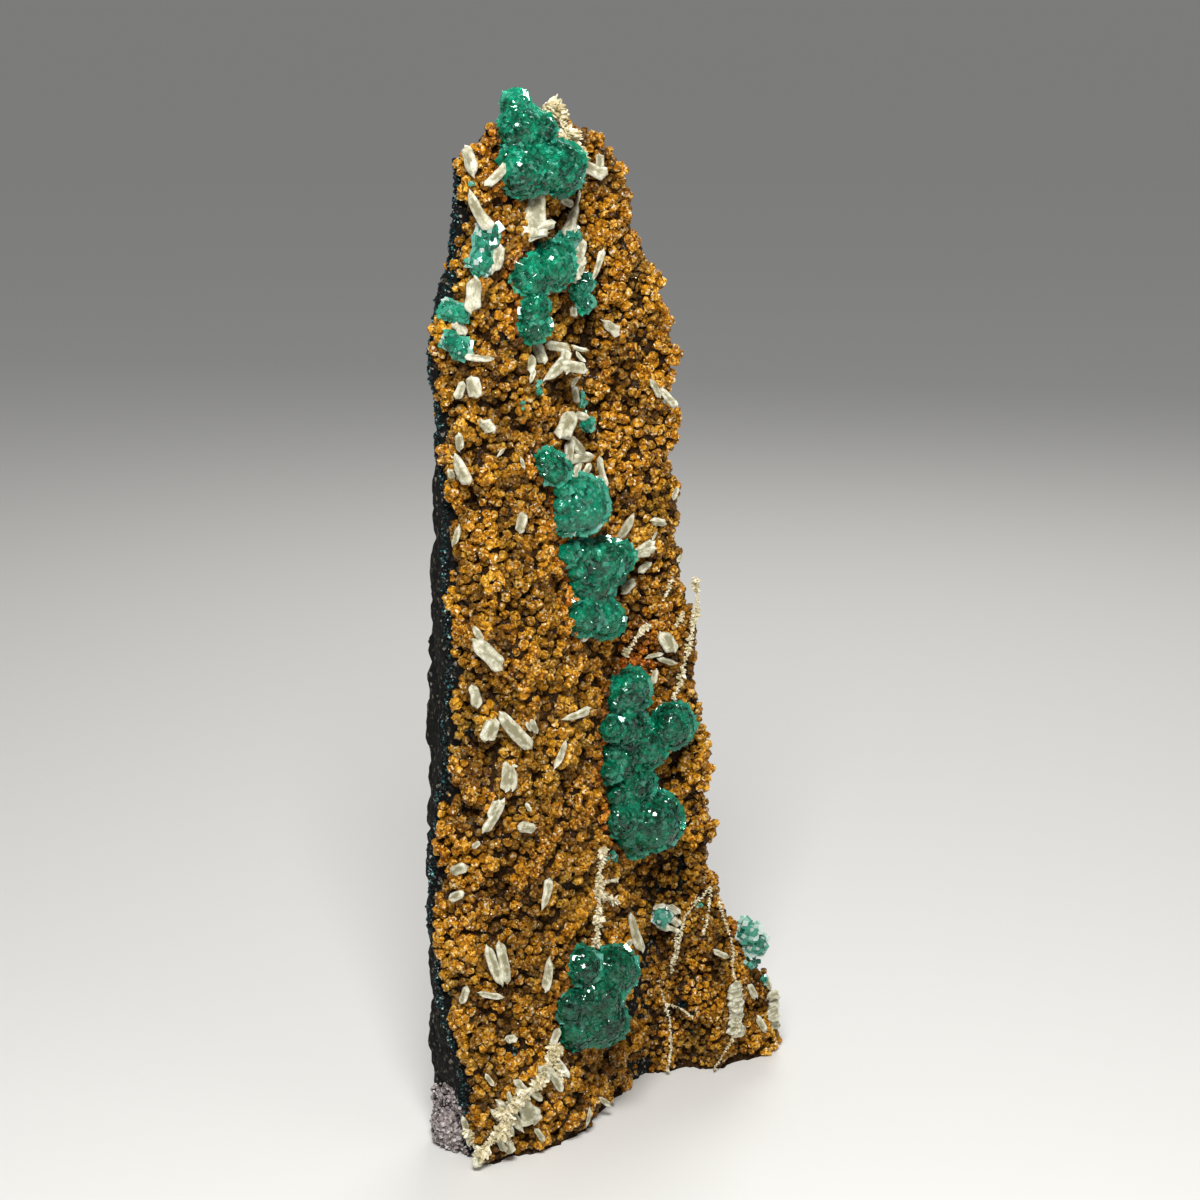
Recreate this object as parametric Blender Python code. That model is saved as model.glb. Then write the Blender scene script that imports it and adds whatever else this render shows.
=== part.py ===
"""Green apophyllite on a tall slab of basalt with a grape-like chalcedony crust.

Lengths are in millimetres until a solid is made, which is in metres. The slab stands on its sawn foot,
its crystal face looks towards -Y, and the origin is under the middle of the specimen's box.
"""
import bpy
import bmesh
import numpy as np
from functools import lru_cache
from math import cos, exp, pi, radians, sin, sqrt
from mathutils import Matrix, Vector, noise
from mathutils.bvhtree import BVHTree

# Driving dimensions
mm = 0.001
gap = 0.3
crust_thickness = 9.0
crust_root = 14.0
foot_overrun = 6.0
slab_middle = (93.19, 23.42)

# Sections of the crystal face from the foot up: height, then left edge, left shoulder, left flank,
# valley, right flank and right edge as (across, back) from the foot's front left corner.
face_sections = (
    (0, ((0, 1), (14, -2), (57, -3), (119, 29), (158, 12), (202, 17))),
    (40, ((-5, 4), (10, -4), (54, -4), (118, 28), (150, 11), (179, 15))),
    (66, ((-8, 12), (5, -2), (49, -4), (117, 27), (142, 12), (168, 14))),
    (85, ((-9, 17), (2, 1), (45, -4), (116, 26), (136, 14), (151, 14))),
    (125, ((-9, 18), (2, 0), (42, -5), (110, 22), (132, 14), (146, 15))),
    (170, ((-6, 11), (4, -3), (38, -5), (102, 18), (127, 13), (142, 15))),
    (240, ((-7, 6), (2, -6), (32, -7), (84, 16), (112, 11), (130, 15))),
    (300, ((-7, 7), (3, -4), (30, -5), (72, 13), (103, 10), (124, 15))),
    (345, ((-10, 11), (-2, 0), (24, -3), (60, 11), (94, 9), (121, 16))),
    (385, ((1, 9), (7, 0), (24, -2), (52, 10), (83, 9), (104, 15))),
    (415, ((4, 9), (10, 1), (25, 1), (50, 9), (76, 9), (97, 15))),
    (450, ((8, 11), (13, 5), (26, 3), (48, 9), (70, 10), (90, 15))),
)
# Height of the top edge against the place across
top_edge = ((0, 422), (9, 429), (20, 438), (42, 440), (62, 436), (76, 432), (88, 423), (99, 411))
# Back left corner of the slab (height, across, back) and how far its back bulges past that corner
back_corner = ((0, 2, 38), (140, 3, 38), (250, 5, 37), (310, 8, 35), (400, 15, 29), (450, 19, 26))
back_bulge = 25.0
bulge_power = 0.7
right_side_lean = 13.0
rock_roughness, rock_break_size = 3.0, 23.0
rock_front_share = 0.97

crust_cells = (38, 1, 104)
crust_kept_share = 0.142
rock_cells = (6, 2, 12)
back_fall = 14.0
rock_drop = 4.0
big_lump, big_lump_height, big_lump_seed = 27.0, 7.0, 7
small_lump, small_lump_height, small_lump_seed = 13.0, 3.4, 31
lumps_sunk = 0.78
crust_root_share, crust_root_drop = 0.9, 3.0
saw_place, saw_size = (90, 30, -25), (400, 300, 50, 1)
flat_angle = radians(0.3)

# The photograph's viewpoint: the places of the crystals are given as the pixels where they show
picture_middle = 600
focal_pixels = 85 / 36 * 1200
view_pitch = radians(13)
view_turn = radians(40)
aim_height = 235.0
view_distance = 1190.0
corner_pixel = (480, 1168)
depth_bias = 25.0

# Apophyllite groups: lobes as (pixel x, pixel y, radius, lift of the centre over the crust)
apophyllite_groups = {
    "crown": ((516, 105, 5.3, 2), (519, 131, 9.6, 3), (542, 129, 5.8, 3), (522, 170, 10.6, 4),
              (559, 168, 10.6, 4), (541, 166, 9.6, 5)),
    "upper_left": ((488, 233, 4.3, 2), (483, 246, 3.8, 2), (482, 262, 5.4, 1.5)),
    "upper_cubes": ((571, 236, 3.6, 2), (564, 246, 4.4, 1.5)),
    "heart": ((529, 276, 9.2, 2), (552, 266, 9.6, 2.5)),
    "trio": ((577, 291, 4.0, 1.5), (586, 281, 3.1, 1.5), (584, 302, 3.6, 1.5)),
    "upper_ball": ((533, 309, 6.6, 2.5), (533, 325, 6.9, 2.5)),
    "left_edge": ((450, 310, 4.2, 1), (462, 313, 4.2, 1)),
    "left_tuft": ((452, 341, 4.1, 1), (461, 350, 3.9, 1)),
    "small_fan": ((586, 424, 3.4, 1.5),),
    "small_disc": ((545, 462, 5.3, 2), (555, 470, 6.0, 2)),
    "great_disc": ((580, 505, 12.2, 3), (565, 516, 8.0, 2)),
    "middle": ((574, 559, 8.2, 7), (601, 560, 9.2, 4), (620, 558, 6.4, 2), (592, 584, 8.8, 3),
               (596, 602, 6.4, 2), (582, 616, 8.2, 1.5), (606, 619, 7.9, 1.5)),
    "complex": ((628, 691, 10.4, 3), (673, 725, 9.8, 2), (626, 727, 10.0, 3.5), (619, 763, 8.2, 2.5),
                (645, 747, 9.4, 3), (636, 784, 8.8, 3), (626, 818, 10.4, 3), (654, 821, 13.4, 3.5),
                (636, 838, 8.6, 2)),
    "lower_ball": ((613, 971, 10.8, 3), (582, 967, 8.4, 2.5), (597, 998, 11.8, 4), (570, 1006, 7.6, 2),
                   (577, 1027, 9.4, 2), (605, 1022, 10.0, 2.5)),
    "wing_pair": ((661, 916, 4.4, 1.5), (668, 936, 4.2, 1.5)),
    "wing_edge": ((747, 931, 5.2, 1), (756, 944, 5.0, 1)),
}

smallest_ball, lobe_spread, lobe_reach = 5.25, 12, 40
block_share = 1.5
ball_roughness, ball_break, ball_flatness = 0.09, 2.6, 0.86

blade_thickness, blade_spread, blade_reach = 0.26, 4, 26
blade_front, blade_shoulder = (-0.55, -0.8, 0.1), 1.12
# Stilbite blades: (root pixel, tip pixel, width, lift of the root, lift of the tip); a group is one solid
stilbite_groups = {
    "top_left": (((466, 148), (472, 175), 5.6, 1, 4),),
    "under_crown_left": (((509, 161), (485, 184), 3.8, 2, 4),),
    "under_crown_right": (((582, 164), (607, 176), 5.6, 2, 4),),
    "long_left": (((471, 190), (491, 228), 6.0, 1, 5),),
    "bow_tie": (((539, 190), (531, 236), 8.6, 3, 5), ((531, 232), (553, 225), 5.0, 3, 5)),
    "upper_right": (((571, 207), (567, 233), 5.4, 1, 4),),
    "upper_blob": (((582, 241), (574, 263), 6.4, 1, 3), ((578, 255), (575, 281), 6.4, 1, 3)),
    "upper_needle": (((603, 250), (593, 280), 3.0, 2, 4),),
    "upper_oval": (((499, 246), (493, 272), 5.6, 1, 3),),
    "left_tall": (((473, 278), (471, 311), 6.8, 1, 5),),
    "left_stub": (((456, 318), (463, 335), 5.8, 1, 3),),
    "left_flat": (((464, 356), (493, 360), 3.2, 2, 3),),
    "nest": (((542, 347), (569, 350), 4.6, 2, 5), ((566, 357), (546, 381), 5.6, 2, 5),
             ((538, 349), (542, 369), 5.0, 2, 4), ((562, 366), (588, 368), 4.6, 1, 4)),
    "left_pair": (((466, 377), (474, 396), 6.2, 1, 4), ((462, 380), (457, 398), 4.0, 1, 3)),
    "centre_oval": (((573, 412), (560, 437), 7.4, 2, 4),),
    "left_lens": (((456, 454), (468, 483), 5.2, 1, 4),),
    "star": (((568, 438), (583, 457), 5.0, 3, 4), ((564, 462), (596, 458), 4.6, 2, 4),
             ((586, 463), (580, 476), 3.2, 1, 3)),
    "centre_needle": (((601, 456), (606, 485), 3.0, 2, 5),),
    "right_lens": (((634, 514), (617, 541), 4.4, 2, 3),),
    "right_wedge": (((631, 553), (657, 544), 6.6, 2, 5),),
    "left_big": (((471, 638), (502, 668), 6.4, 1, 6),),
    "left_low": (((471, 686), (476, 708), 5.0, 1, 4),),
    "left_double": (((497, 714), (532, 746), 6.8, 2, 6), ((497, 722), (484, 738), 7.0, 1, 3)),
    "middle_needle": (((563, 718), (589, 710), 4.0, 1, 4),),
    "middle_spike": (((566, 741), (554, 768), 3.4, 1, 5),),
    "flank_blob": (((511, 760), (506, 791), 5.6, 1, 4), ((501, 803), (480, 832), 5.4, 1, 3)),
    "low_spike": (((549, 879), (542, 909), 4.2, 1, 4),),
    "right_oval": (((660, 634), (672, 651), 7.0, 1, 3),),
    "wing_blade": (((632, 913), (639, 951), 5.0, 1, 5),),
    "left_twin": (((493, 944), (500, 986), 6.4, 1, 6), ((500, 945), (507, 980), 5.0, 1, 4)),
    "low_blade": (((550, 958), (545, 990), 4.4, 1, 4),),
}

# Stilbite stringers: the pixels that each passes, and its width
stringer_step = 7.5
stringer_swell, stringer_beat, stringer_taper = 0.28, 2.4, 0.3
stringer_lines = {
    "top": (((544, 107), (556, 112), (561, 124), (566, 137), (573, 148), (581, 157)), 7.0),
    "right": (((694, 577), (698, 601), (692, 632), (685, 661), (679, 686), (673, 700)), 3.4),
    "side": (((650, 623), (641, 632), (633, 643), (625, 656)), 3.6),
    "middle": (((604, 852), (600, 864), (598, 888), (599, 922), (596, 946)), 4.6),
    "foot": (((558, 1045), (553, 1056), (540, 1079), (530, 1093), (519, 1100), (508, 1113), (503, 1131),
              (488, 1143), (478, 1160)), 5.6),
    "wing_left": (((662, 955), (661, 984), (667, 1009), (669, 1043), (668, 1072)), 3.0),
    "wing_middle": (((697, 905), (687, 916), (684, 936), (676, 952)), 2.8),
    "wing_right": (((717, 898), (724, 925), (733, 945), (735, 973), (739, 992), (734, 1034),
                    (727, 1048), (717, 1069)), 3.2),
}

quartz_break, quartz_roughness = 1.7, 0.16
quartz_place, quartz_size = (3.0, 25.0, 8.0), (6.0, 11.0, 12.0)


def reset_scene():
    """An empty scene with a collection for the specimen and one for its cutters."""
    for old in list(bpy.data.objects):
        bpy.data.objects.remove(old, do_unlink=True)
    collections = []
    for name in ("green_apophyllite", "cutters"):
        made = bpy.data.collections.new(name)
        bpy.context.scene.collection.children.link(made)
        collections.append(made)
    return collections


def stone(name, colour, roughness, transmission=0.0):
    """A Principled material with one colour, given as sRGB hex."""
    material = bpy.data.materials.new(name)
    material.use_nodes = True
    shader = material.node_tree.nodes["Principled BSDF"]
    channels = [int(colour[i:i + 2], 16) / 255 for i in (0, 2, 4)]
    linear = [c / 12.92 if c <= 0.04045 else ((c + 0.055) / 1.055) ** 2.4 for c in channels]
    shader.inputs["Base Color"].default_value = (*linear, 1)
    shader.inputs["Roughness"].default_value = roughness
    shader.inputs["Metallic"].default_value = 0.0
    shader.inputs["Transmission Weight"].default_value = transmission
    material.diffuse_color = (*linear, 1)
    return material


# Shape of the crystal face

def slope_at(i, stations, values):
    """The slope of a smooth curve at one of its values, from the values beside it."""
    low, high = max(i - 1, 0), min(i + 1, len(values) - 1)
    return (values[high] - values[low]) / (stations[high] - stations[low])


def smooth_curve(at, stations, values):
    """The height of a smooth curve through the values, held level past its ends."""
    i = 0
    while i < len(stations) - 2 and at > stations[i + 1]:
        i += 1
    span = stations[i + 1] - stations[i]
    t = min(max((at - stations[i]) / span, 0.0), 1.0)
    rise = t * t * (3 - 2 * t)
    start, end = slope_at(i, stations, values), slope_at(i + 1, stations, values)
    bend = t * (1 - t) * span * ((1 - t) * start - t * end)
    return values[i] + (values[i + 1] - values[i]) * rise + bend


@lru_cache(maxsize=4096)
def section_at(height):
    """Across and back values of the six section points at a height."""
    heights = [row[0] for row in face_sections]
    columns = range(len(face_sections[0][1]))
    across = [smooth_curve(height, heights, [row[1][k][0] for row in face_sections]) for k in columns]
    back = [smooth_curve(height, heights, [row[1][k][1] for row in face_sections]) for k in columns]
    return across, back


def face_point(u, height):
    """A point of the smooth crystal face: u runs from 0 at the left edge to 1 at the right."""
    across, back = section_at(height)
    columns = range(len(across))
    at = u * (len(across) - 1)
    return Vector((smooth_curve(at, columns, across), smooth_curve(at, columns, back), height))


def face_back(across, height):
    """How far back the smooth crystal face lies at a place on the slab."""
    xs, ys = section_at(height)
    return smooth_curve(across, xs, ys)


def face_normal(u, height):
    """The direction out of the crystal face."""
    step = 0.02
    along = face_point(min(u + step, 1), height) - face_point(max(u - step, 0), height)
    up = face_point(u, height + 3) - face_point(u, height - 3)
    return along.cross(up).normalized()


def top_height(u):
    """Height of the slab's top edge over the foot."""
    across = face_point(u, 425).x
    return smooth_curve(across, [p[0] for p in top_edge], [p[1] for p in top_edge])


def dome(point, size, shift):
    """A field of rounded lumps of one size, from 0 in the creases to 1 on their crowns."""
    nearest, second = noise.voronoi((point + Vector((shift, 0, 0))) / size)[0][:2]
    return sqrt(min(1.0, (second - nearest) / 0.55))


# Where a pixel of the photograph meets the specimen

def view_axes():
    """Camera place and its right, forward and up axes over the slab's own corner."""
    pitch_cos, pitch_sin = cos(view_pitch), sin(view_pitch)
    camera = Vector((0, -view_distance * pitch_cos, aim_height + view_distance * pitch_sin))
    forward = Vector((0, pitch_cos, -pitch_sin))
    up = Vector((0, pitch_sin, pitch_cos))
    right = Vector((1, 0, 0))
    corner_ray = (forward * focal_pixels + right * (corner_pixel[0] - picture_middle)
                  - up * (corner_pixel[1] - picture_middle))
    corner = camera - corner_ray * (camera.z / corner_ray.z)
    turn = Matrix.Rotation(-view_turn, 3, "Z")
    return turn @ (camera - corner), turn @ right, turn @ forward, turn @ up


camera_place, camera_right, camera_forward, camera_up = view_axes()


def pixel_ray(pixel):
    """The direction from the camera through a pixel."""
    return (camera_forward * focal_pixels + camera_right * (pixel[0] - picture_middle)
            - camera_up * (pixel[1] - picture_middle)).normalized()


def crust_depth(pixel, spread):
    """How far from the camera the crust lies at a pixel: the mean depth within spread pixels."""
    offsets = ((0, 0), (-1, 0), (1, 0), (0, -1), (0, 1), (-0.7, -0.7), (0.7, 0.7), (-0.7, 0.7), (0.7, -0.7))
    rays = [pixel_ray((pixel[0] + spread * x, pixel[1] + spread * y)) for x, y in offsets]
    hits = [crust_tree.ray_cast(camera_place, ray)[3] for ray in rays]
    depths = [depth for depth in hits if depth is not None] or [smooth_depth(rays[0])]
    return sum(depths) / len(depths)


def settled(pixels, lifts, spread, reach):
    """The points over the crust that pixels show, none behind the depth that its neighbours agree on."""
    depths = [crust_depth(pixel, spread) for pixel in pixels]
    nearness = [exp((min(depths) - depth) / depth_bias) for depth in depths]
    points = []
    for pixel, own, lift in zip(pixels, depths, lifts):
        weights = [near * exp(-((pixel[0] - x) ** 2 + (pixel[1] - y) ** 2) / reach ** 2)
                   for near, (x, y) in zip(nearness, pixels)]
        agreed = sum(w * d for w, d in zip(weights, depths)) / sum(weights)
        points.append(camera_place + pixel_ray(pixel) * (min(own, agreed) - lift))
    return points


def smooth_depth(ray):
    """How far along a ray the smooth crystal face lies, for a pixel just past the crust's edge."""
    depth = view_distance
    for _ in range(12):
        point = camera_place + ray * depth
        depth = (face_back(point.x, point.z) - camera_place.y) / ray.y
    return depth


def ray_tree(thing):
    """A tree for ray casts on a solid, in millimetres from the foot's front left corner."""
    bm = bmesh.new()
    bm.from_mesh(thing.data)
    bm.transform(Matrix.Translation((*slab_middle, 0)) @ Matrix.Scale(1 / mm, 4))
    tree = BVHTree.FromBMesh(bm)
    bm.free()
    return tree


# Solids

def finish(bm, name, material, collection):
    """Make a solid in metres, with the origin under the middle of the specimen."""
    bm.normal_update()
    bmesh.ops.recalc_face_normals(bm, faces=bm.faces)
    bm.transform(Matrix.Scale(mm, 4) @ Matrix.Translation((-slab_middle[0], -slab_middle[1], 0)))
    mesh = bpy.data.meshes.new(name)
    bm.to_mesh(mesh)
    bm.free()
    mesh.materials.append(material)
    made = bpy.data.objects.new(name, mesh)
    collection.objects.link(made)
    return made


def subdivided_box(cells):
    """A unit box from 0 to 1 on each axis, cut into cells."""
    bm = bmesh.new()
    bmesh.ops.create_cube(bm, size=1, matrix=Matrix.Translation((0.5, 0.5, 0.5)))
    for axis, count in enumerate(cells):
        if count == 1:
            continue
        edges = [e for e in bm.edges if abs(e.verts[0].co[axis] - e.verts[1].co[axis]) > 0.5]
        bmesh.ops.subdivide_edges(bm, edges=edges, cuts=count - 1, use_grid_fill=True)
    return bm


def evaluated_mesh(thing):
    """The mesh of an object with its modifiers, as new mesh data."""
    bpy.context.view_layer.update()
    graph = bpy.context.evaluated_depsgraph_get()
    return bpy.data.meshes.new_from_object(thing.evaluated_get(graph))


def keep_largest_body(mesh):
    """Drop every loose body but the largest, which a cut can leave."""
    bm = bmesh.new()
    bm.from_mesh(mesh)
    bmesh.ops.remove_doubles(bm, verts=bm.verts, dist=0.00001)
    bmesh.ops.dissolve_limit(bm, angle_limit=flat_angle, verts=bm.verts, edges=bm.edges)
    bmesh.ops.dissolve_degenerate(bm, edges=bm.edges, dist=0.00001)
    bmesh.ops.triangulate(bm, faces=bm.faces)
    left = set(bm.verts)
    bodies = []
    while left:
        body, front = set(), [left.pop()]
        while front:
            vert = front.pop()
            body.add(vert)
            for edge in vert.link_edges:
                other = edge.other_vert(vert)
                if other in left:
                    left.discard(other)
                    front.append(other)
        bodies.append(body)
    largest = max(bodies, key=lambda body: body_size(body))
    loose = [v for body in bodies if body is not largest for v in body]
    bmesh.ops.delete(bm, geom=loose, context="VERTS")
    bm.to_mesh(mesh)
    bm.free()


def body_size(body):
    """The volume of a body's box."""
    corners = np.array([v.co[:] for v in body])
    return float(np.prod(corners.max(0) - corners.min(0)))


def combine(thing, cutters, operation="DIFFERENCE", solver="EXACT"):
    """Cut a solid by the cutters, or join them to it, and keep one clean body."""
    for cutter in cutters:
        step = thing.modifiers.new(cutter.name, "BOOLEAN")
        step.operation = operation
        step.object = cutter
        step.solver = solver
    fresh = evaluated_mesh(thing)
    keep_largest_body(fresh)
    thing.modifiers.clear()
    old = thing.data
    name = old.name
    thing.data = fresh
    bpy.data.meshes.remove(old)
    fresh.name = name


def clearance(thing):
    """A cutter that is the solid grown outwards by the gap between touching pieces."""
    bm = bmesh.new()
    bm.from_mesh(thing.data)
    bm.normal_update()
    grown = [(v, v.co + v.normal * gap * mm * min(v.calc_shell_factor(), 4.0)) for v in bm.verts]
    for vert, place in grown:
        vert.co = place
    mesh = bpy.data.meshes.new(thing.name + "_clearance")
    bm.to_mesh(mesh)
    bm.free()
    cutter = bpy.data.objects.new(mesh.name, mesh)
    cutters.objects.link(cutter)
    cutter.hide_render = True
    cutter.display_type = "WIRE"
    return cutter


def boxes_meet(one, other):
    """Whether two objects' boxes touch."""
    a = np.array([v.co[:] for v in one.data.vertices])
    b = np.array([v.co[:] for v in other.data.vertices])
    return bool((a.min(0) <= b.max(0)).all() and (b.min(0) <= a.max(0)).all())


def fit(thing):
    """Cut a solid clear of all that is built before it, and add it to them.

    A grown cutter folds over itself in tight creases, which only the manifold solver can cut with.
    """
    combine(thing, [cutter for cutter in clearances if boxes_meet(thing, cutter)], solver="MANIFOLD")
    clearances.append(clearance(thing))


# Rock and crust

def basalt_matrix():
    """The broken slab behind the crust: a box bent to the crystal face, with a rough bulging back."""
    bm = subdivided_box(rock_cells)
    heights = [row[0] for row in back_corner]
    for vert in bm.verts:
        u, depth, rise = vert.co
        height = -foot_overrun + rise * (top_height(u) - rock_drop + foot_overrun)
        front = face_point(u, height)
        middle = face_point(0.5, height).x
        front.x = middle + (front.x - middle) * rock_front_share
        front.y += crust_thickness
        left_x = smooth_curve(height, heights, [row[1] for row in back_corner])
        left_y = smooth_curve(height, heights, [row[2] for row in back_corner])
        right_x = face_point(1, height).x - right_side_lean
        swell = back_bulge * sin(pi * min(max(u, 0.0), 1.0)) ** bulge_power
        back = Vector((left_x + (right_x - left_x) * u, left_y + swell, height - back_fall * rise))
        vert.co = front.lerp(back, depth)
        if depth > 0:
            vert.co += noise.noise_vector(vert.co / rock_break_size) * rock_roughness
    rock = finish(bm, "basalt_matrix", stone("basalt", "34332F", 0.9), specimen)
    combine(rock, [saw])
    return rock


def chalcedony_crust():
    """The grape-like crust: a skin on the crystal face, rooted in the rock and cut by it."""
    bm = subdivided_box(crust_cells)
    for vert in bm.verts:
        u, depth, rise = vert.co
        height = -foot_overrun + rise * (top_height(u) + foot_overrun)
        point = face_point(u, height)
        if depth < 0.5:
            swell = big_lump_height * dome(point, big_lump, big_lump_seed)
            swell += small_lump_height * dome(point, small_lump, small_lump_seed)
            vert.co = point + face_normal(u, height) * (swell - lumps_sunk * big_lump_height)
        else:
            middle = face_point(0.5, height).x
            root_x = middle + (point.x - middle) * crust_root_share
            vert.co = Vector((root_x, point.y + crust_root, height - crust_root_drop * rise))
    crust = finish(bm, "chalcedony_crust", stone("chalcedony", "B07A3A", 0.6), specimen)
    thinned = crust.modifiers.new("thinned", "DECIMATE")
    thinned.ratio = crust_kept_share
    combine(crust, [saw])
    return crust


def saw_block():
    """The block that takes everything below the foot away."""
    bm = bmesh.new()
    bmesh.ops.create_cube(bm, size=1, matrix=Matrix.Translation(saw_place) @ Matrix.Diagonal(saw_size))
    block = finish(bm, "saw_cut", stone("saw", "808080", 1.0), cutters)
    block.hide_render = True
    block.display_type = "WIRE"
    return block


def quartz_foot():
    """The lump of grey quartz in the rock's side at the foot."""
    bm = bmesh.new()
    bmesh.ops.create_icosphere(bm, subdivisions=2, radius=1)
    for vert in bm.verts:
        vert.co += noise.noise_vector(vert.co * quartz_break) * quartz_roughness
        vert.co = Vector(quartz_place) + Matrix.Diagonal(quartz_size) @ vert.co
    lump = finish(bm, "quartz_foot", stone("quartz", "B9AFAA", 0.45), specimen)
    combine(lump, [saw])
    fit(lump)
    return lump


# Crystals

def joined(bodies, name, material):
    """One solid from overlapping bodies, each a bmesh."""
    first = finish(bodies[0], name, material, specimen)
    rest = [finish(body, name + "_lobe", material, cutters) for body in bodies[1:]]
    combine(first, rest, "UNION")
    for used in rest:
        bpy.data.objects.remove(used, do_unlink=True)
    return first


def crystal_block(centre, radius, seed):
    """One small blocky apophyllite crystal."""
    bm = bmesh.new()
    bmesh.ops.create_cube(bm, size=block_share * radius)
    spin = Matrix.Rotation(0.5 + seed * 1.1, 4, "Z") @ Matrix.Rotation(0.4 + seed * 0.6, 4, "X")
    bm.transform(Matrix.Translation(centre) @ spin)
    return bm


def crystal_ball(centre, radius, seed):
    """A ball of apophyllite with flat faces, a little flattened towards the crust."""
    bm = bmesh.new()
    bmesh.ops.create_icosphere(bm, subdivisions=2, radius=1)
    spin = Matrix.Rotation(seed * 1.3, 3, "Z") @ Matrix.Rotation(seed * 0.7, 3, "X")
    for vert in bm.verts:
        facet = 1 + ball_roughness * noise.noise(vert.co * ball_break + Vector((seed, 0, 0)))
        turned = spin @ (vert.co * facet)
        vert.co = centre + Vector((turned.x, turned.y * ball_flatness, turned.z)) * radius
    return bm


def apophyllite(name, lobes, material):
    """A group of apophyllite balls that have grown together."""
    bodies = []
    centres = settled([lobe[:2] for lobe in lobes], [lobe[3] for lobe in lobes], lobe_spread, lobe_reach)
    for i, (centre, lobe) in enumerate(zip(centres, lobes)):
        grow = crystal_block if lobe[2] < smallest_ball else crystal_ball
        bodies.append(grow(centre, lobe[2], i + len(name)))
    fit(joined(bodies, "apophyllite_" + name, material))


def blade(root, tip, width, sides=6):
    """A tabular stilbite blade with pointed ends, broad side to the front."""
    bm = bmesh.new()
    bmesh.ops.create_uvsphere(bm, u_segments=sides, v_segments=4, radius=1)
    axis = tip - root
    length = axis.length
    axis.normalize()
    flat = (Vector(blade_front) - axis * axis.dot(blade_front)).normalized()
    side = flat.cross(axis)
    for vert in bm.verts:
        around = Vector((vert.co.x, vert.co.y, 0))
        if 0.1 < abs(vert.co.z) < 0.9:
            around *= blade_shoulder
        vert.co = ((root + tip) / 2 + axis * vert.co.z * length / 2
                   + side * around.x * width / 2 + flat * around.y * width * blade_thickness)
    return bm


def stilbite(name, blades, material):
    """A stilbite blade, or a few that have grown together."""
    ends = [end for row in blades for end in row[:2]]
    lifts = [lift for row in blades for lift in row[3:]]
    places = settled(ends, lifts, blade_spread, blade_reach)
    bodies = [blade(places[2 * i], places[2 * i + 1], row[2]) for i, row in enumerate(blades)]
    fit(joined(bodies, "stilbite_" + name, material))


def stringer(name, line, width, material):
    """A string of tiny blades that creeps over the crust, as a knobbly tube half sunk in it."""
    knots = settled(line, [0.3 * width] * len(line), blade_spread, blade_spread)
    points = []
    for start, end in zip(knots, knots[1:]):
        count = max(1, round((end - start).length / stringer_step))
        points += [start.lerp(end, i / count) for i in range(count)]
    points.append(knots[-1])
    curve = bpy.data.curves.new(name, "CURVE")
    curve.dimensions = "3D"
    curve.bevel_depth = width / 2
    curve.bevel_resolution = 0
    curve.use_fill_caps = True
    spline = curve.splines.new("POLY")
    spline.points.add(len(points) - 1)
    for i, (knot, point) in enumerate(zip(spline.points, points)):
        knot.co = (*point, 1)
        taper = stringer_taper if i in (0, len(points) - 1) else 0
        knot.radius = 1 + stringer_swell * sin(stringer_beat * i + len(name)) - taper
    tube = bpy.data.objects.new(name, curve)
    cutters.objects.link(tube)
    mesh = evaluated_mesh(tube)
    bm = bmesh.new()
    bm.from_mesh(mesh)
    bmesh.ops.remove_doubles(bm, verts=bm.verts, dist=0.001)
    bpy.data.objects.remove(tube, do_unlink=True)
    made = finish(bm, "stringer_" + name, material, specimen)
    combine(made, [saw])
    fit(made)


noise.seed_set(11)
specimen, cutters = reset_scene()
clearances = []
saw = saw_block()
rock = basalt_matrix()
crust = chalcedony_crust()
rock_clearance = clearance(rock)
combine(crust, [rock_clearance, rock], solver="MANIFOLD")
clearances += [rock_clearance, clearance(crust)]
crust_tree = ray_tree(crust)
quartz_foot()

for group, lobes in apophyllite_groups.items():
    apophyllite(group, lobes, stone("apophyllite_" + group, "12805E", 0.12, 0.6))

for group, blades in stilbite_groups.items():
    stilbite(group, blades, stone("stilbite_" + group, "E4DCC4", 0.4))

for group, (line, width) in stringer_lines.items():
    stringer(group, line, width, stone("stringer_" + group, "E0D6A8", 0.5))
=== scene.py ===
from math import cos, pi, radians, sin

import bmesh
import bpy
import numpy as np
from mathutils import Euler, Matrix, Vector, noise
from mathutils.bvhtree import BVHTree


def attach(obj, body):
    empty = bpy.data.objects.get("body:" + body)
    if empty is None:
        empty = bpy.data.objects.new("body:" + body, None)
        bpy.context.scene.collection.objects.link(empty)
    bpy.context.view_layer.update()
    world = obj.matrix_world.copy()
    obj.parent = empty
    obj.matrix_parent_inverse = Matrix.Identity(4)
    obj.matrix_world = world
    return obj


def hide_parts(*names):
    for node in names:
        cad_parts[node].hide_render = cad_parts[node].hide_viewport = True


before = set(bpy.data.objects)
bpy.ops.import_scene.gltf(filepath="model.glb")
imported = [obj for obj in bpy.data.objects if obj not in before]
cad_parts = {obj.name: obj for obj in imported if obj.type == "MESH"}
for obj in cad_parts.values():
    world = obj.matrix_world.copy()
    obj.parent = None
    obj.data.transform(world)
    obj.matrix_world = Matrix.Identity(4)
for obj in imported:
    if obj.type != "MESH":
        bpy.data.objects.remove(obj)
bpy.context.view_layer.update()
noise.seed_set(7)
mm = 0.001


# Helpers -------------------------------------------------------------

def activate(piece):
    bpy.ops.object.select_all(action="DESELECT")
    piece.select_set(True)
    bpy.context.view_layer.objects.active = piece


def applyModifier(piece, kind, **settings):
    activate(piece)
    modifier = piece.modifiers.new(kind.title(), kind)
    for key, value in settings.items():
        setattr(modifier, key, value)
    bpy.ops.object.modifier_apply(modifier=modifier.name)


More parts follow.
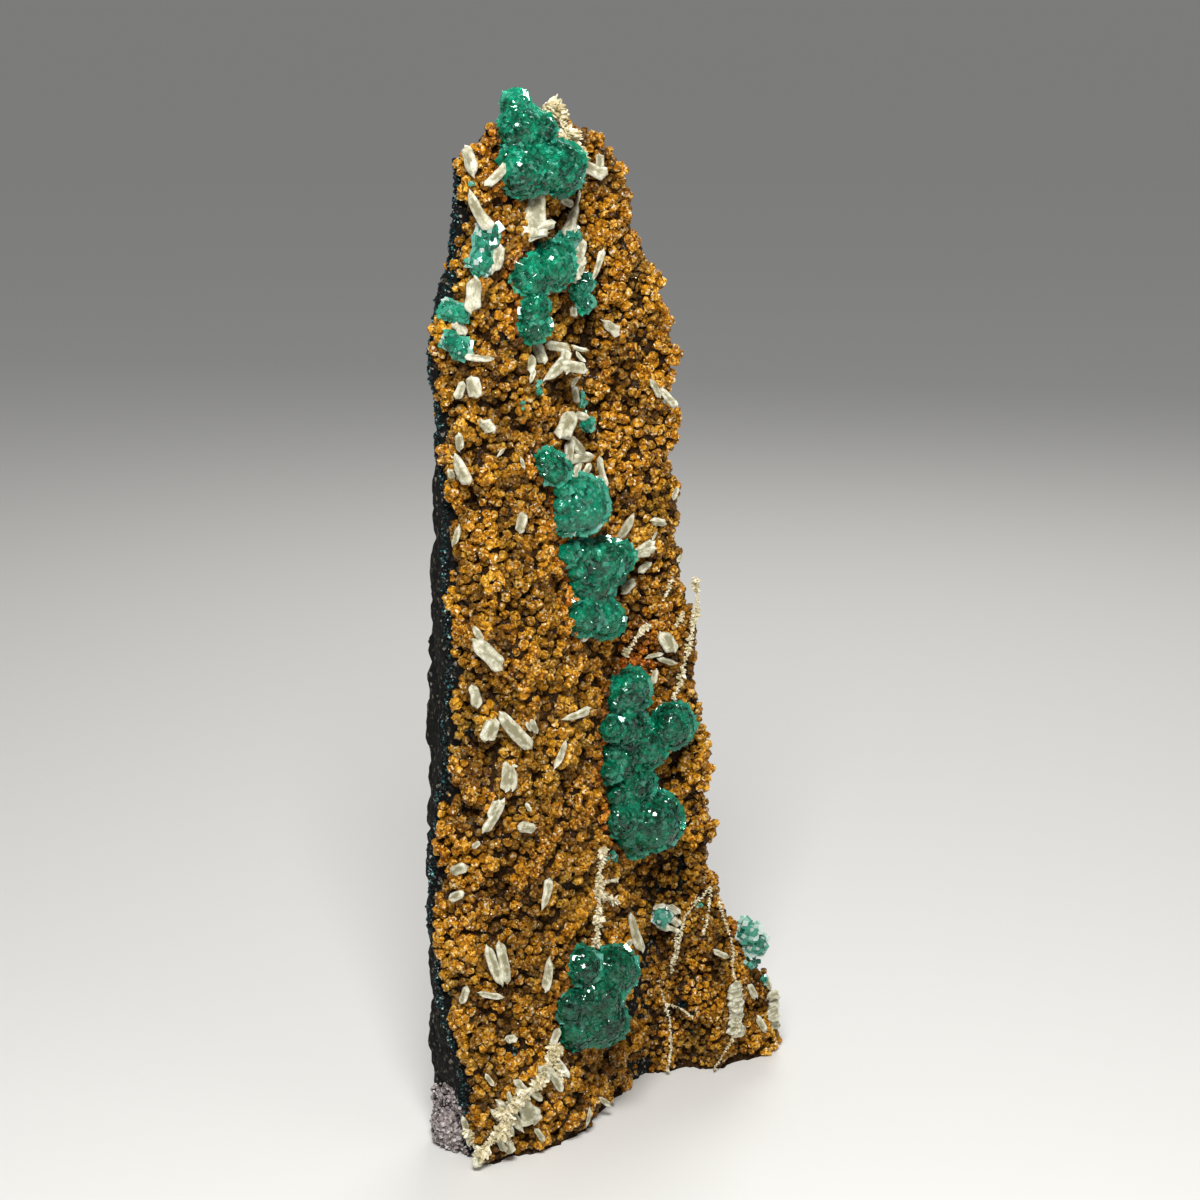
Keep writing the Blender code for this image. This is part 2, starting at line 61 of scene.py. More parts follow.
def copyOfNode(nodeName, pieceName):  # a merged copy of a CAD node, to refine
    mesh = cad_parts[nodeName].data.copy()
    mesh.name = pieceName
    mesh.materials.clear()
    piece = bpy.data.objects.new(pieceName, mesh)
    bpy.context.scene.collection.objects.link(piece)
    activate(piece)
    bpy.ops.object.mode_set(mode="EDIT")
    bpy.ops.mesh.select_all(action="SELECT")
    bpy.ops.mesh.remove_doubles(threshold=0.02 * mm)
    bpy.ops.mesh.normals_make_consistent(inside=False)
    bpy.ops.object.mode_set(mode="OBJECT")
    return piece


def placesOf(mesh):
    places = np.empty(len(mesh.vertices) * 3, np.float32)
    mesh.vertices.foreach_get("co", places)
    return places.reshape(-1, 3).astype(float)


def normalsOf(mesh):
    normals = np.empty(len(mesh.vertices) * 3, np.float32)
    mesh.vertex_normals.foreach_get("vector", normals)
    return normals.reshape(-1, 3).astype(float)


def movePlaces(mesh, places):
    mesh.vertices.foreach_set("co", places.astype(np.float32).ravel())
    mesh.update()


def cornersOf(mesh):  # triangles of a mesh as rows of three vertices
    mesh.calc_loop_triangles()
    corners = np.empty(len(mesh.loop_triangles) * 3, np.int32)
    mesh.loop_triangles.foreach_get("vertices", corners)
    return corners.reshape(-1, 3)


def pieceFromArrays(name, places, corners, values=None):
    mesh = bpy.data.meshes.new(name)
    places = np.maximum(places, (-1, -1, 0))  # nothing reaches below the floor
    mesh.vertices.add(len(places))
    mesh.vertices.foreach_set("co", places.astype(np.float32).ravel())
    mesh.loops.add(corners.size)
    mesh.loops.foreach_set("vertex_index", corners.astype(np.int32).ravel())
    mesh.polygons.add(len(corners))
    mesh.polygons.foreach_set("loop_start", np.arange(0, corners.size, corners.shape[1], dtype=np.int32))
    mesh.update(calc_edges=True)
    for key, value in (values or {}).items():
        mesh.attributes.new(key, "FLOAT", "POINT").data.foreach_set("value", value.astype(np.float32))
    piece = bpy.data.objects.new(name, mesh)
    bpy.context.scene.collection.objects.link(piece)
    return piece


def unitShape(addPrimitive, **settings):  # vertices and triangles of a primitive, taken off the scene again
    bpy.ops.object.select_all(action="DESELECT")
    addPrimitive(**settings)
    made = bpy.context.active_object
    places, corners = placesOf(made.data), cornersOf(made.data)
    bpy.data.objects.remove(made, do_unlink=True)
    return places, corners


def selectFaces(wanted):  # in edit mode, by their normal
    bpy.ops.mesh.select_mode(type="FACE")
    bpy.ops.mesh.select_all(action="DESELECT")
    mesh = bmesh.from_edit_mesh(bpy.context.edit_object.data)
    for face in mesh.faces:
        if wanted(face.normal):
            face.select_set(True)
    bmesh.update_edit_mesh(bpy.context.edit_object.data)


def takeShape():  # ends edit mode and takes the model off the scene as vertices and triangles
    bpy.ops.object.mode_set(mode="OBJECT")
    made = bpy.context.active_object
    places, corners = placesOf(made.data), cornersOf(made.data)
    bpy.data.objects.remove(made, do_unlink=True)
    return places, corners


def modelLath(stations, sides):  # a many-sided bar from z -1 to 1, pulled out of a short cylinder step by step
    step = 2 / stations
    bpy.ops.object.select_all(action="DESELECT")
    bpy.ops.mesh.primitive_cylinder_add(vertices=sides, radius=1, depth=step, location=(0, 0, -1 + step / 2))
    bpy.ops.object.transform_apply(location=True, rotation=False, scale=False)
    bpy.ops.object.mode_set(mode="EDIT")
    for _ in range(stations - 1):
        selectFaces(lambda normal: normal.z > 0.9)
        bpy.ops.mesh.extrude_region_move(TRANSFORM_OT_translate={"value": (0, 0, step)})
    return takeShape()


def modelBlock(tipWidth, rootWidth, cut, roof):  # a square prism with cut corners and a low roof on its tip
    bpy.ops.object.select_all(action="DESELECT")
    bpy.ops.mesh.primitive_cube_add(size=2)
    bpy.ops.object.mode_set(mode="EDIT")
    for width, side in ((rootWidth, -1), (tipWidth, 1)):
        selectFaces(lambda normal: normal.z * side > 0.9)
        bpy.ops.transform.resize(value=(width, width, 1), center_override=(0, 0, side))
    bpy.ops.mesh.bevel(offset=cut, segments=1, affect="VERTICES")
    selectFaces(lambda normal: normal.z > 0.95)
    bpy.ops.mesh.inset(thickness=0.3)
    bpy.ops.transform.translate(value=(0, 0, roof))
    return takeShape()


def dropLooseBits(piece):
    name = piece.name
    activate(piece)
    bpy.ops.object.mode_set(mode="EDIT")
    bpy.ops.mesh.select_all(action="SELECT")
    bpy.ops.mesh.separate(type="LOOSE")
    bpy.ops.object.mode_set(mode="OBJECT")
    bits = sorted(bpy.context.selected_objects, key=lambda bit: len(bit.data.vertices))
    largest = bits.pop()
    for bit in bits:
        bpy.data.objects.remove(bit, do_unlink=True)
    largest.name = name
    return largest


def randomTurns(rng, count):  # even random rotations, as matrices
    q = rng.normal(size=(count, 4))
    w, x, y, z = (q / np.linalg.norm(q, axis=1, keepdims=True)).T
    return np.stack([1 - 2 * (y * y + z * z), 2 * (x * y - z * w), 2 * (x * z + y * w),
                     2 * (x * y + z * w), 1 - 2 * (x * x + z * z), 2 * (y * z - x * w),
                     2 * (x * z - y * w), 2 * (y * z + x * w), 1 - 2 * (x * x + y * y)], 1).reshape(-1, 3, 3)


def turnsAlong(rng, axes):  # rotations that put z on the axes, spun at random
    z = axes / np.linalg.norm(axes, axis=1, keepdims=True)
    x = np.cross(z, rng.normal(size=z.shape))
    x /= np.linalg.norm(x, axis=1, keepdims=True)
    return np.stack([x, np.cross(z, x), z], 2)


def scatter(name, shapes, rng, centres, turns, sizes, values=None):
    # joins copies of the unit shapes into one mesh; sizes has one or three numbers a copy
    sizes = sizes.reshape(len(centres), -1)
    choice = rng.integers(len(shapes), size=len(centres))
    places, corners, copied, start = [], [], [], 0
    for k, (unit, faces) in enumerate(shapes):
        chosen = np.flatnonzero(choice == k)
        if not len(chosen):
            continue
        local = unit[None] * sizes[chosen][:, None, :]
        world = np.einsum("nij,nvj->nvi", turns[chosen], local) + centres[chosen][:, None, :]
        places.append(world.reshape(-1, 3))
        corners.append((faces[None] + (start + np.arange(len(chosen)) * len(unit))[:, None, None]).reshape(-1, 3))
        copied.append(np.repeat(chosen, len(unit)))
        start += len(chosen) * len(unit)
    copied = np.concatenate(copied)
    values = {key: value[copied] for key, value in (values or {}).items()}
    return pieceFromArrays(name, np.concatenate(places), np.concatenate(corners), values)


def surfacePoints(mesh, count, rng, keep):  # even random points on the faces that keep allows
    places, normals, corners = placesOf(mesh), normalsOf(mesh), cornersOf(mesh)
    a, b, c = (places[corners[:, i]] for i in range(3))
    flat = np.cross(b - a, c - a)
    area = np.linalg.norm(flat, axis=1)
    flat /= area[:, None] + 1e-12
    area = area * keep((a + b + c) / 3, flat)
    faces = rng.choice(len(corners), size=count, p=area / area.sum())
    u, v = rng.random(count), rng.random(count)
    over = u + v > 1
    u[over], v[over] = 1 - u[over], 1 - v[over]
    weights = np.stack([1 - u - v, u, v], 1)[:, :, None]
    points = (places[corners[faces]] * weights).sum(1)
    outward = (normals[corners[faces]] * weights).sum(1)
    return points, outward / np.linalg.norm(outward, axis=1, keepdims=True)


def spaced(points, spacing):  # keeps points at least their spacing apart, first come first served
    cell = float(spacing.max())
    grid, kept = {}, []
    for i, (point, room) in enumerate(zip(points.tolist(), spacing.tolist())):
        home = [int(value // cell) for value in point]
        near = (grid.get((home[0] + x, home[1] + y, home[2] + z), ())
                for x in (-1, 0, 1) for y in (-1, 0, 1) for z in (-1, 0, 1))
        if any((point[0] - q[0]) ** 2 + (point[1] - q[1]) ** 2 + (point[2] - q[2]) ** 2 < (0.5 * (room + q[3])) ** 2
               for held in near for q in held):
            continue
        grid.setdefault(tuple(home), []).append((*point, room))
        kept.append(i)
    return np.array(kept)


def treeOf(*pieces):
    places, corners, start = [], [], 0
    for piece in pieces:
        places.append(placesOf(piece.data))
        corners.append(cornersOf(piece.data) + start)
        start += len(places[-1])
    return BVHTree.FromPolygons(np.concatenate(places).tolist(), np.concatenate(corners).tolist())


def lump(point, size, shift):  # a grape-like field: 0 in the creases, 1 on the tops
    first, second = noise.voronoi(Vector(point) / size + Vector((shift, 0, 0)))[0][:2]
    return 1 - (1 - min((second - first) / 0.65, 1.0)) ** 2


def linear(hexColour):
    channels = [int(hexColour[i:i + 2], 16) / 255 for i in (0, 2, 4)]
    return (*(c / 12.92 if c <= 0.04045 else ((c + 0.055) / 1.055) ** 2.4 for c in channels), 1)


def newMaterial(name):
    material = bpy.data.materials.new(name)
    material.use_nodes = True
    material.node_tree.nodes.clear()
    return material


def addNode(material, kind, inputs=None, links=None, stops=None, **settings):
    # stops are a colour ramp's (place, hex) pairs; links are the sockets that feed this node's inputs
    node = material.node_tree.nodes.new(kind)
    for key, value in settings.items():
        setattr(node, key, value)
    for key, value in (inputs or {}).items():
        node.inputs[key].default_value = value
    for key, socket in (links or {}).items():
        material.node_tree.links.new(socket, node.inputs[key])
    if stops:
        while len(node.color_ramp.elements) < len(stops):
            node.color_ramp.elements.new(0.5)
        for element, (place, colour) in zip(node.color_ramp.elements, stops):
            element.position = place
            element.color = linear(colour)
    return node


def finishPiece(piece, material, replaced=(), smooth=None):
    activate(piece)
    piece.data.materials.clear()
    piece.data.materials.append(material)
    if smooth is None:
        bpy.ops.object.shade_flat()
    else:
        bpy.ops.object.shade_smooth_by_angle(angle=radians(smooth))
    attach(piece, "root")
    if replaced:
        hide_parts(*replaced)


# Camera, before the crystals, because they are placed along its rays --

photoView = {"place": (-0.76883, -0.90743, 0.50269), "tilt": 77, "turn": -40, "lens": 85, "sensor": 36, "pixels": 1200}

cameraData = bpy.data.cameras.new("photoCamera")
cameraData.lens = photoView["lens"]
cameraData.sensor_width = photoView["sensor"]
camera = bpy.data.objects.new("photoCamera", cameraData)
camera.location = photoView["place"]
camera.rotation_euler = (radians(photoView["tilt"]), 0, radians(photoView["turn"]))
bpy.context.scene.collection.objects.link(camera)
bpy.context.scene.camera = camera
cameraPlace = np.array(photoView["place"])
cameraAxes = np.array(Euler(camera.rotation_euler).to_matrix())  # columns: right, up, back
focalPixels = photoView["lens"] / photoView["sensor"] * photoView["pixels"]


def rayThrough(px, py):
    half = photoView["pixels"] / 2
    ray = cameraAxes @ np.array([(px - half) / focalPixels, (half - py) / focalPixels, -1.0])
    return ray / np.linalg.norm(ray)


def pixelsOf(places):
    local = (places - cameraPlace) @ cameraAxes
    half = photoView["pixels"] / 2
    return np.stack([half - local[:, 0] / local[:, 2] * focalPixels, half + local[:, 1] / local[:, 2] * focalPixels], 1)


print("camera placed")


# Materials -----------------------------------------------------------

def facetHeight(material, coordinates, size, seed=0.0):
    # height field of small flat facets, each tipped its own way; size in metres
    shifted = addNode(material, "ShaderNodeVectorMath", operation="ADD", inputs={1: (seed, seed, seed)},
                      links={0: coordinates})
    cells = addNode(material, "ShaderNodeTexVoronoi", inputs={"Scale": 1 / size, "Randomness": 1.0},
                    links={"Vector": shifted.outputs[0]})
    tip = addNode(material, "ShaderNodeVectorMath", operation="SUBTRACT", inputs={1: (0.5, 0.5, 0.5)},
                  links={0: cells.outputs["Color"]})
    offset = addNode(material, "ShaderNodeVectorMath", operation="SUBTRACT",
                     links={0: shifted.outputs[0], 1: cells.outputs["Position"]})
    height = addNode(material, "ShaderNodeVectorMath", operation="DOT_PRODUCT",
                     links={0: tip.outputs[0], 1: offset.outputs[0]})
    return height.outputs["Value"], cells


def mixColours(material, blend, factor, first, second):  # a colour mix; each may be a socket or a constant
    mix = addNode(material, "ShaderNodeMix", data_type="RGBA", blend_type=blend)
    for index, value in ((0, factor), (6, first), (7, second)):
        if hasattr(value, "is_linked"):
            material.node_tree.links.new(value, mix.inputs[index])
        else:
            mix.inputs[index].default_value = value
    return mix.outputs[2]


def druseMaterial():
    # chalcedony balls under a quartz druse: golden tan grains that glint one by one, a share of them with painted
    # glints; painted light on the lumps' tops and the left flank, painted dark-brown shade in the creases
    material = newMaterial("quartzDruse")
    coordinates = addNode(material, "ShaderNodeTexCoord").outputs["Object"]
    facets, grains = facetHeight(material, coordinates, 1.0 * mm)
    fine, fineGrains = facetHeight(material, coordinates, 0.5 * mm, seed=0.3)
    drift = addNode(material, "ShaderNodeTexNoise", inputs={"Scale": 1 / (30 * mm), "Detail": 3.0, "Roughness": 0.55},
                    links={"Vector": coordinates})
    ground = addNode(material, "ShaderNodeValToRGB", links={"Fac": drift.outputs["Fac"]},
                     stops=[(0.32, "8C4E02"), (0.44, "C27A08"), (0.55, "E09A16"), (0.68, "F0BC44")])
    attributes = {name: addNode(material, "ShaderNodeAttribute", attribute_name=name).outputs["Fac"]
                  for name in ("tone", "crevice", "rust", "glint")}
    # the tone attribute holds random tone together with painted light on the lumps' tops and the left flank
    toneAndPaintedLightRamp = addNode(material, "ShaderNodeValToRGB", links={"Fac": attributes["tone"]},
                       stops=[(0.0, "C4AE92"), (0.5, "F2ECE2"), (1.0, "FFFFFF")])
    withToneAndPaintedLight = mixColours(material, "MULTIPLY", 1.0, ground.outputs["Color"], toneAndPaintedLightRamp.outputs["Color"])
    grainPick = addNode(material, "ShaderNodeSeparateColor", links={"Color": grains.outputs["Color"]})
    grainShade = addNode(material, "ShaderNodeValToRGB", links={"Fac": grainPick.outputs["Red"]},
                         stops=[(0.0, "281400"), (0.3, "8C5004"), (0.66, "DC9A1C"), (0.9, "F6CC60"), (1.0, "FFF8DC")])
    grained = mixColours(material, "MIX", 0.66, withToneAndPaintedLight, grainShade.outputs["Color"])
    rusty = mixColours(material, "MULTIPLY", attributes["rust"], grained, linear("E88C38"))
    # painted shade: balls and bed in the creases are mixed towards dark brown
    sunk = mixColours(material, "MIX", attributes["crevice"], rusty, linear("34200A"))
    # painted glint: grains marked glint are painted near-white
    sparkling = mixColours(material, "MIX", attributes["glint"], sunk, linear("FFF4DC"))
    bumps = addNode(material, "ShaderNodeMath", operation="MULTIPLY_ADD", inputs={1: 0.7}, links={0: fine, 2: facets})
    bump = addNode(material, "ShaderNodeBump", inputs={"Strength": 1.0, "Distance": 1.6}, links={"Height": bumps.outputs[0]})
    gloss = addNode(material, "ShaderNodeMapRange", inputs={"To Min": 0.14, "To Max": 0.55},
                    links={"Value": grainPick.outputs["Green"]})
    shader = addNode(material, "ShaderNodeBsdfPrincipled", inputs={"IOR": 1.544, "Specular IOR Level": 0.18},
                     links={"Normal": bump.outputs["Normal"], "Base Color": sparkling, "Roughness": gloss.outputs[0]})
    addNode(material, "ShaderNodeOutputMaterial", links={"Surface": shader.outputs[0]})
    return material


def basaltMaterial():
    # fine-grained basalt, freshly broken: near-black with olive and grey specks, fully matte
    material = newMaterial("brokenBasalt")
    coordinates = addNode(material, "ShaderNodeTexCoord").outputs["Object"]
    specks = addNode(material, "ShaderNodeTexVoronoi", inputs={"Scale": 1 / (1.1 * mm)}, links={"Vector": coordinates})
    pick = addNode(material, "ShaderNodeSeparateColor", links={"Color": specks.outputs["Color"]})
    shade = addNode(material, "ShaderNodeValToRGB", links={"Fac": pick.outputs["Red"]},
                    stops=[(0.0, "020202"), (0.6, "0A0A08"), (0.8, "1E1C18"), (0.92, "5A5648"), (1.0, "E0DCCC")])
    stain = addNode(material, "ShaderNodeTexNoise", inputs={"Scale": 1 / (28 * mm), "Detail": 5.0, "Roughness": 0.6},
                    links={"Vector": coordinates})
    stainShade = addNode(material, "ShaderNodeValToRGB", links={"Fac": stain.outputs["Fac"]},
                         stops=[(0.35, "606262"), (0.55, "94908A"), (0.75, "CFC6B4")])
    colour = addNode(material, "ShaderNodeMix", data_type="RGBA", blend_type="MULTIPLY", inputs={"Factor": 1.0})
    material.node_tree.links.new(shade.outputs["Color"], colour.inputs[6])
    material.node_tree.links.new(stainShade.outputs["Color"], colour.inputs[7])
    grit = addNode(material, "ShaderNodeTexNoise", inputs={"Scale": 1 / (1.6 * mm), "Detail": 4.0, "Roughness": 0.7},
                   links={"Vector": coordinates})
    bump = addNode(material, "ShaderNodeBump", inputs={"Strength": 0.9, "Distance": 0.9 * mm},
                   links={"Height": grit.outputs["Fac"]})
    shader = addNode(material, "ShaderNodeBsdfPrincipled", inputs={"Roughness": 0.86, "Specular IOR Level": 0.2},
                     links={"Normal": bump.outputs["Normal"], "Base Color": colour.outputs[2]})
    addNode(material, "ShaderNodeOutputMaterial", links={"Surface": shader.outputs[0]})
    return material


def apophylliteMaterial():
    # emerald apophyllite: clear green crystal with a glassy lustre, paler where thin, finely ridged faces
    material = newMaterial("greenApophyllite")
    coordinates = addNode(material, "ShaderNodeTexCoord").outputs["Object"]
    facets, cells = facetHeight(material, coordinates, 1.5 * mm)
    pick = addNode(material, "ShaderNodeSeparateColor", links={"Color": cells.outputs["Color"]})
    drift = addNode(material, "ShaderNodeTexNoise", inputs={"Scale": 1 / (8 * mm), "Detail": 3.0, "Roughness": 0.6},
                    links={"Vector": coordinates})
    body = addNode(material, "ShaderNodeValToRGB", links={"Fac": drift.outputs["Fac"]},
                   stops=[(0.34, "001209"), (0.46, "006444"), (0.57, "00A878"), (0.68, "10E4B4")])
    # per-crystal mottling of the green; its palest cells are painted glints
    glint = addNode(material, "ShaderNodeValToRGB", links={"Fac": pick.outputs["Green"]},
                    stops=[(0.0, "001C12"), (0.5, "006C4A"), (0.85, "04BC8C"), (1.0, "90F4DC")])
    mottled = mixColours(material, "MIX", 0.5, body.outputs["Color"], glint.outputs["Color"])
    # partly painted shade: the green is darkened low on the slab, partly a deeper colour, partly the light's fall-off
    deep = addNode(material, "ShaderNodeAttribute", attribute_name="deep")
    deepenedAndShaded = mixColours(material, "MULTIPLY", deep.outputs["Fac"], mottled, linear("70AC9C"))
    pale = addNode(material, "ShaderNodeAttribute", attribute_name="pale")
    thin = addNode(material, "ShaderNodeValToRGB", links={"Fac": pale.outputs["Fac"]},
                   stops=[(0.3, "2CC8A0"), (0.75, "78DCC4"), (1.0, "E8F4EC")])
    colour = mixColours(material, "MIX", pale.outputs["Fac"], deepenedAndShaded, thin.outputs["Color"])
    bump = addNode(material, "ShaderNodeBump", inputs={"Strength": 0.6, "Distance": 0.04}, links={"Height": facets})
    shader = addNode(material, "ShaderNodeBsdfPrincipled",
                     inputs={"Roughness": 0.05, "IOR": 1.535, "Transmission Weight": 0.6, "Specular IOR Level": 0.28},
                     links={"Normal": bump.outputs["Normal"], "Base Color": colour})
    inside = addNode(material, "ShaderNodeVolumeAbsorption", inputs={"Color": linear("00C890"), "Density": 90.0})
    addNode(material, "ShaderNodeOutputMaterial", links={"Surface": shader.outputs[0], "Volume": inside.outputs[0]})
    return material


def stilbiteMaterial(name, rim, middle, core, roughness):
    # stilbite: ivory laths with a silky to pearly lustre, fine lengthwise striations, a greyer tan core
    material = newMaterial(name)
    coordinates = addNode(material, "ShaderNodeTexCoord").outputs["Object"]
    cloud = addNode(material, "ShaderNodeTexNoise", inputs={"Scale": 1 / (3 * mm), "Detail": 4.0, "Roughness": 0.65},
                    links={"Vector": coordinates})
    attributes = {key: addNode(material, "ShaderNodeAttribute", attribute_name=key).outputs["Fac"]
                  for key in ("core", "across", "along")}
    along = addNode(material, "ShaderNodeMath", operation="MULTIPLY", inputs={1: 0.12}, links={0: attributes["along"]})
    lengthwise = addNode(material, "ShaderNodeCombineXYZ", links={"X": attributes["across"], "Y": along.outputs[0]})
    silk = addNode(material, "ShaderNodeTexNoise", inputs={"Scale": 2.6, "Detail": 3.0, "Roughness": 0.7},
                   links={"Vector": lengthwise.outputs[0]})
    mixed = addNode(material, "ShaderNodeMath", operation="MULTIPLY_ADD", inputs={1: 0.32},
                    links={0: attributes["core"], 2: cloud.outputs["Fac"]})
    streaked = addNode(material, "ShaderNodeMath", operation="MULTIPLY_ADD", inputs={1: 0.5},
                       links={0: silk.outputs["Fac"], 2: mixed.outputs[0]})
    shade = addNode(material, "ShaderNodeValToRGB", links={"Fac": streaked.outputs[0]},
                    stops=[(0.62, rim), (0.82, middle), (1.0, core)])
    grain = addNode(material, "ShaderNodeTexNoise", inputs={"Scale": 1 / (0.7 * mm), "Detail": 3.0},
                    links={"Vector": coordinates})
    ridges = addNode(material, "ShaderNodeMath", operation="MULTIPLY_ADD", inputs={1: 0.35},
                     links={0: grain.outputs["Fac"], 2: silk.outputs["Fac"]})
    bump = addNode(material, "ShaderNodeBump", inputs={"Strength": 0.9, "Distance": 0.35 * mm},
                   links={"Height": ridges.outputs[0]})
    shader = addNode(material, "ShaderNodeBsdfPrincipled",
                     inputs={"Roughness": roughness, "IOR": 1.5, "Subsurface Weight": 0.2,
                             "Subsurface Radius": (0.0016, 0.0013, 0.001), "Subsurface Scale": 1.0},
                     links={"Normal": bump.outputs["Normal"], "Base Color": shade.outputs["Color"]})
    addNode(material, "ShaderNodeOutputMaterial", links={"Surface": shader.outputs[0]})
    return material


def celadoniteMaterial():
    # the seam between rock and crust: blackish teal celadonite with pale cyan specks, sub-metallic glints
    material = newMaterial("celadoniteSeam")
    coordinates = addNode(material, "ShaderNodeTexCoord").outputs["Object"]
    facets, cells = facetHeight(material, coordinates, 0.8 * mm)
    pick = addNode(material, "ShaderNodeSeparateColor", links={"Color": cells.outputs["Color"]})
    shade = addNode(material, "ShaderNodeValToRGB", links={"Fac": pick.outputs["Blue"]},
                    stops=[(0.0, "020506"), (0.7, "06100F"), (0.86, "0C3438"), (0.96, "2A6E70"), (1.0, "A8D4CE")])
    bump = addNode(material, "ShaderNodeBump", inputs={"Strength": 1.0, "Distance": 1.0}, links={"Height": facets})
    shader = addNode(material, "ShaderNodeBsdfPrincipled", inputs={"Roughness": 0.3, "IOR": 1.6, "Specular IOR Level": 0.2},
                     links={"Normal": bump.outputs["Normal"], "Base Color": shade.outputs["Color"]})
    addNode(material, "ShaderNodeOutputMaterial", links={"Surface": shader.outputs[0]})
    return material


def quartzMaterial():
    # massive quartz at the foot: grey to milky pink, waxy broken faces
    material = newMaterial("milkyQuartz")
    coordinates = addNode(material, "ShaderNodeTexCoord").outputs["Object"]
    facets, cells = facetHeight(material, coordinates, 1.2 * mm)
    cloud = addNode(material, "ShaderNodeTexNoise", inputs={"Scale": 1 / (5 * mm), "Detail": 5.0},
                    links={"Vector": coordinates})
    shade = addNode(material, "ShaderNodeValToRGB", links={"Fac": cloud.outputs["Fac"]},
                    stops=[(0.3, "242222"), (0.45, "5E5656"), (0.56, "948886"), (0.72, "D2CAC4")])
    specks = addNode(material, "ShaderNodeSeparateColor", links={"Color": cells.outputs["Color"]})
    speckShade = addNode(material, "ShaderNodeValToRGB", links={"Fac": specks.outputs["Red"]},
                         stops=[(0.0, "201E1E"), (0.4, "7C7270"), (0.75, "B4A29E"), (1.0, "F4F0EC")])
    colour = mixColours(material, "MIX", 0.55, shade.outputs["Color"], speckShade.outputs["Color"])
    bump = addNode(material, "ShaderNodeBump", inputs={"Strength": 1.0, "Distance": 0.7}, links={"Height": facets})
    shader = addNode(material, "ShaderNodeBsdfPrincipled", inputs={"Roughness": 0.28, "IOR": 1.544},
                     links={"Normal": bump.outputs["Normal"], "Base Color": colour})
    addNode(material, "ShaderNodeOutputMaterial", links={"Surface": shader.outputs[0]})
    return material


druse = druseMaterial()
basalt = basaltMaterial()
apophyllite = apophylliteMaterial()
stilbite = stilbiteMaterial("pearlyStilbite", "E0DECC", "B6B298", "7E785A", 0.3)
stringerStilbite = stilbiteMaterial("creamStilbite", "F4EEDA", "DCD0AC", "AC9E74", 0.45)
celadonite = celadoniteMaterial()
quartz = quartzMaterial()
print("materials made")


# Basalt slab ----------------------------------------------------------

basaltSettings = {"voxel": 2.4 * mm, "break": (22 * mm, 2.4 * mm), "chips": (7 * mm, 1.1 * mm), "footFlat": 0.4 * mm}

rock = copyOfNode("basalt_matrix", "basaltSlab")
applyModifier(rock, "REMESH", mode="VOXEL", voxel_size=basaltSettings["voxel"])
rockPlaces, rockNormals = placesOf(rock.data), normalsOf(rock.data)
shifts = []
for place, normal in zip(rockPlaces, rockNormals):
    if place[2] < basaltSettings["footFlat"] + 1 * mm:
        shifts.append(0.0)  # the sawn foot stays flat
        continue
    planes = lump(place, basaltSettings["break"][0], 3.0) * basaltSettings["break"][1]
    chips = lump(place, basaltSettings["chips"][0], 9.0) * basaltSettings["chips"][1]
    shifts.append(planes + chips - basaltSettings["break"][1])
rockPlaces += rockNormals * np.array(shifts)[:, None]
rockPlaces[:, 2] = np.maximum(rockPlaces[:, 2], 0.0)
movePlaces(rock.data, rockPlaces)
rockTree = treeOf(rock)
finishPiece(rock, basalt, ["basalt_matrix"], smooth=35)
print("basalt", len(rock.data.polygons))


# Bed: rock and crust as one body, so that no thin skin breaks up --------------

bedSettings = {"voxel": 2.2 * mm, "smoothing": 4, "seam": 2.6 * mm}

bed = copyOfNode("chalcedony_crust", "chalcedonyBed")
rockUnder = copyOfNode("basalt_matrix", "rockUnder")
activate(bed)
rockUnder.select_set(True)
bpy.ops.object.join()
applyModifier(bed, "REMESH", mode="VOXEL", voxel_size=bedSettings["voxel"])
bed = dropLooseBits(bed)
applyModifier(bed, "SMOOTH", iterations=bedSettings["smoothing"], factor=0.5)
bedTree = treeOf(bed)
cadRockTree = treeOf(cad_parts["basalt_matrix"])
cadCrustTree = treeOf(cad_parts["chalcedony_crust"])


def distances(tree, places):
    return np.array([tree.find_nearest(Vector(place))[3] for place in places])


def heightsOver(tree, places):  # like distances, but negative under the surface
    found = [tree.find_nearest(Vector(place)) for place in places]
    return np.array([(Vector(place) - spot).dot(normal) for place, (spot, normal, _, _) in zip(places, found)])


print("bed", len(bed.data.polygons))


# Placing by the photograph's pixels ----------------------------------------------

def depthOnBed(px, py):  # how far along its ray a pixel meets the bed, or None
    return bedTree.ray_cast(Vector(cameraPlace), Vector(rayThrough(px, py)))[3]


def depthOnNode(nodePlaces, px, py, reach=6.0):  # depth of a CAD node around a pixel
    pixels = pixelsOf(nodePlaces)
    weights = np.exp(-((pixels[:, 0] - px) ** 2 + (pixels[:, 1] - py) ** 2) / reach ** 2) + 1e-9
    return float((weights * np.linalg.norm(nodePlaces - cameraPlace, axis=1)).sum() / weights.sum())


def endsOf(row, nodePlaces, lift):  # the two ends of a blade in space
    depths = []
    for px, py in (row[0:2], row[2:4]):
        if nodePlaces is not None:
            depths.append(depthOnNode(nodePlaces, px, py))
        else:
            depths.append(depthOnBed(px, py))
    known = [depth for depth in depths if depth is not None]
    if not known:
        return None
    depths = [min(known) if depth is None else depth for depth in depths]
    span = np.hypot(row[2] - row[0], row[3] - row[1]) * 0.42 * mm
    middle = 0.5 * (depths[0] + depths[1])
    half = np.clip((depths[1] - depths[0]) / 2, -0.3 * span, 0.3 * span)
    nearness = (middle - half, middle + half) if nodePlaces is None else depths
    return [cameraPlace + rayThrough(*pixel) * (depth - lift)
            for pixel, depth in zip((row[0:2], row[2:4]), nearness)]


# Stilbite blades -------------------------------------------------------------------

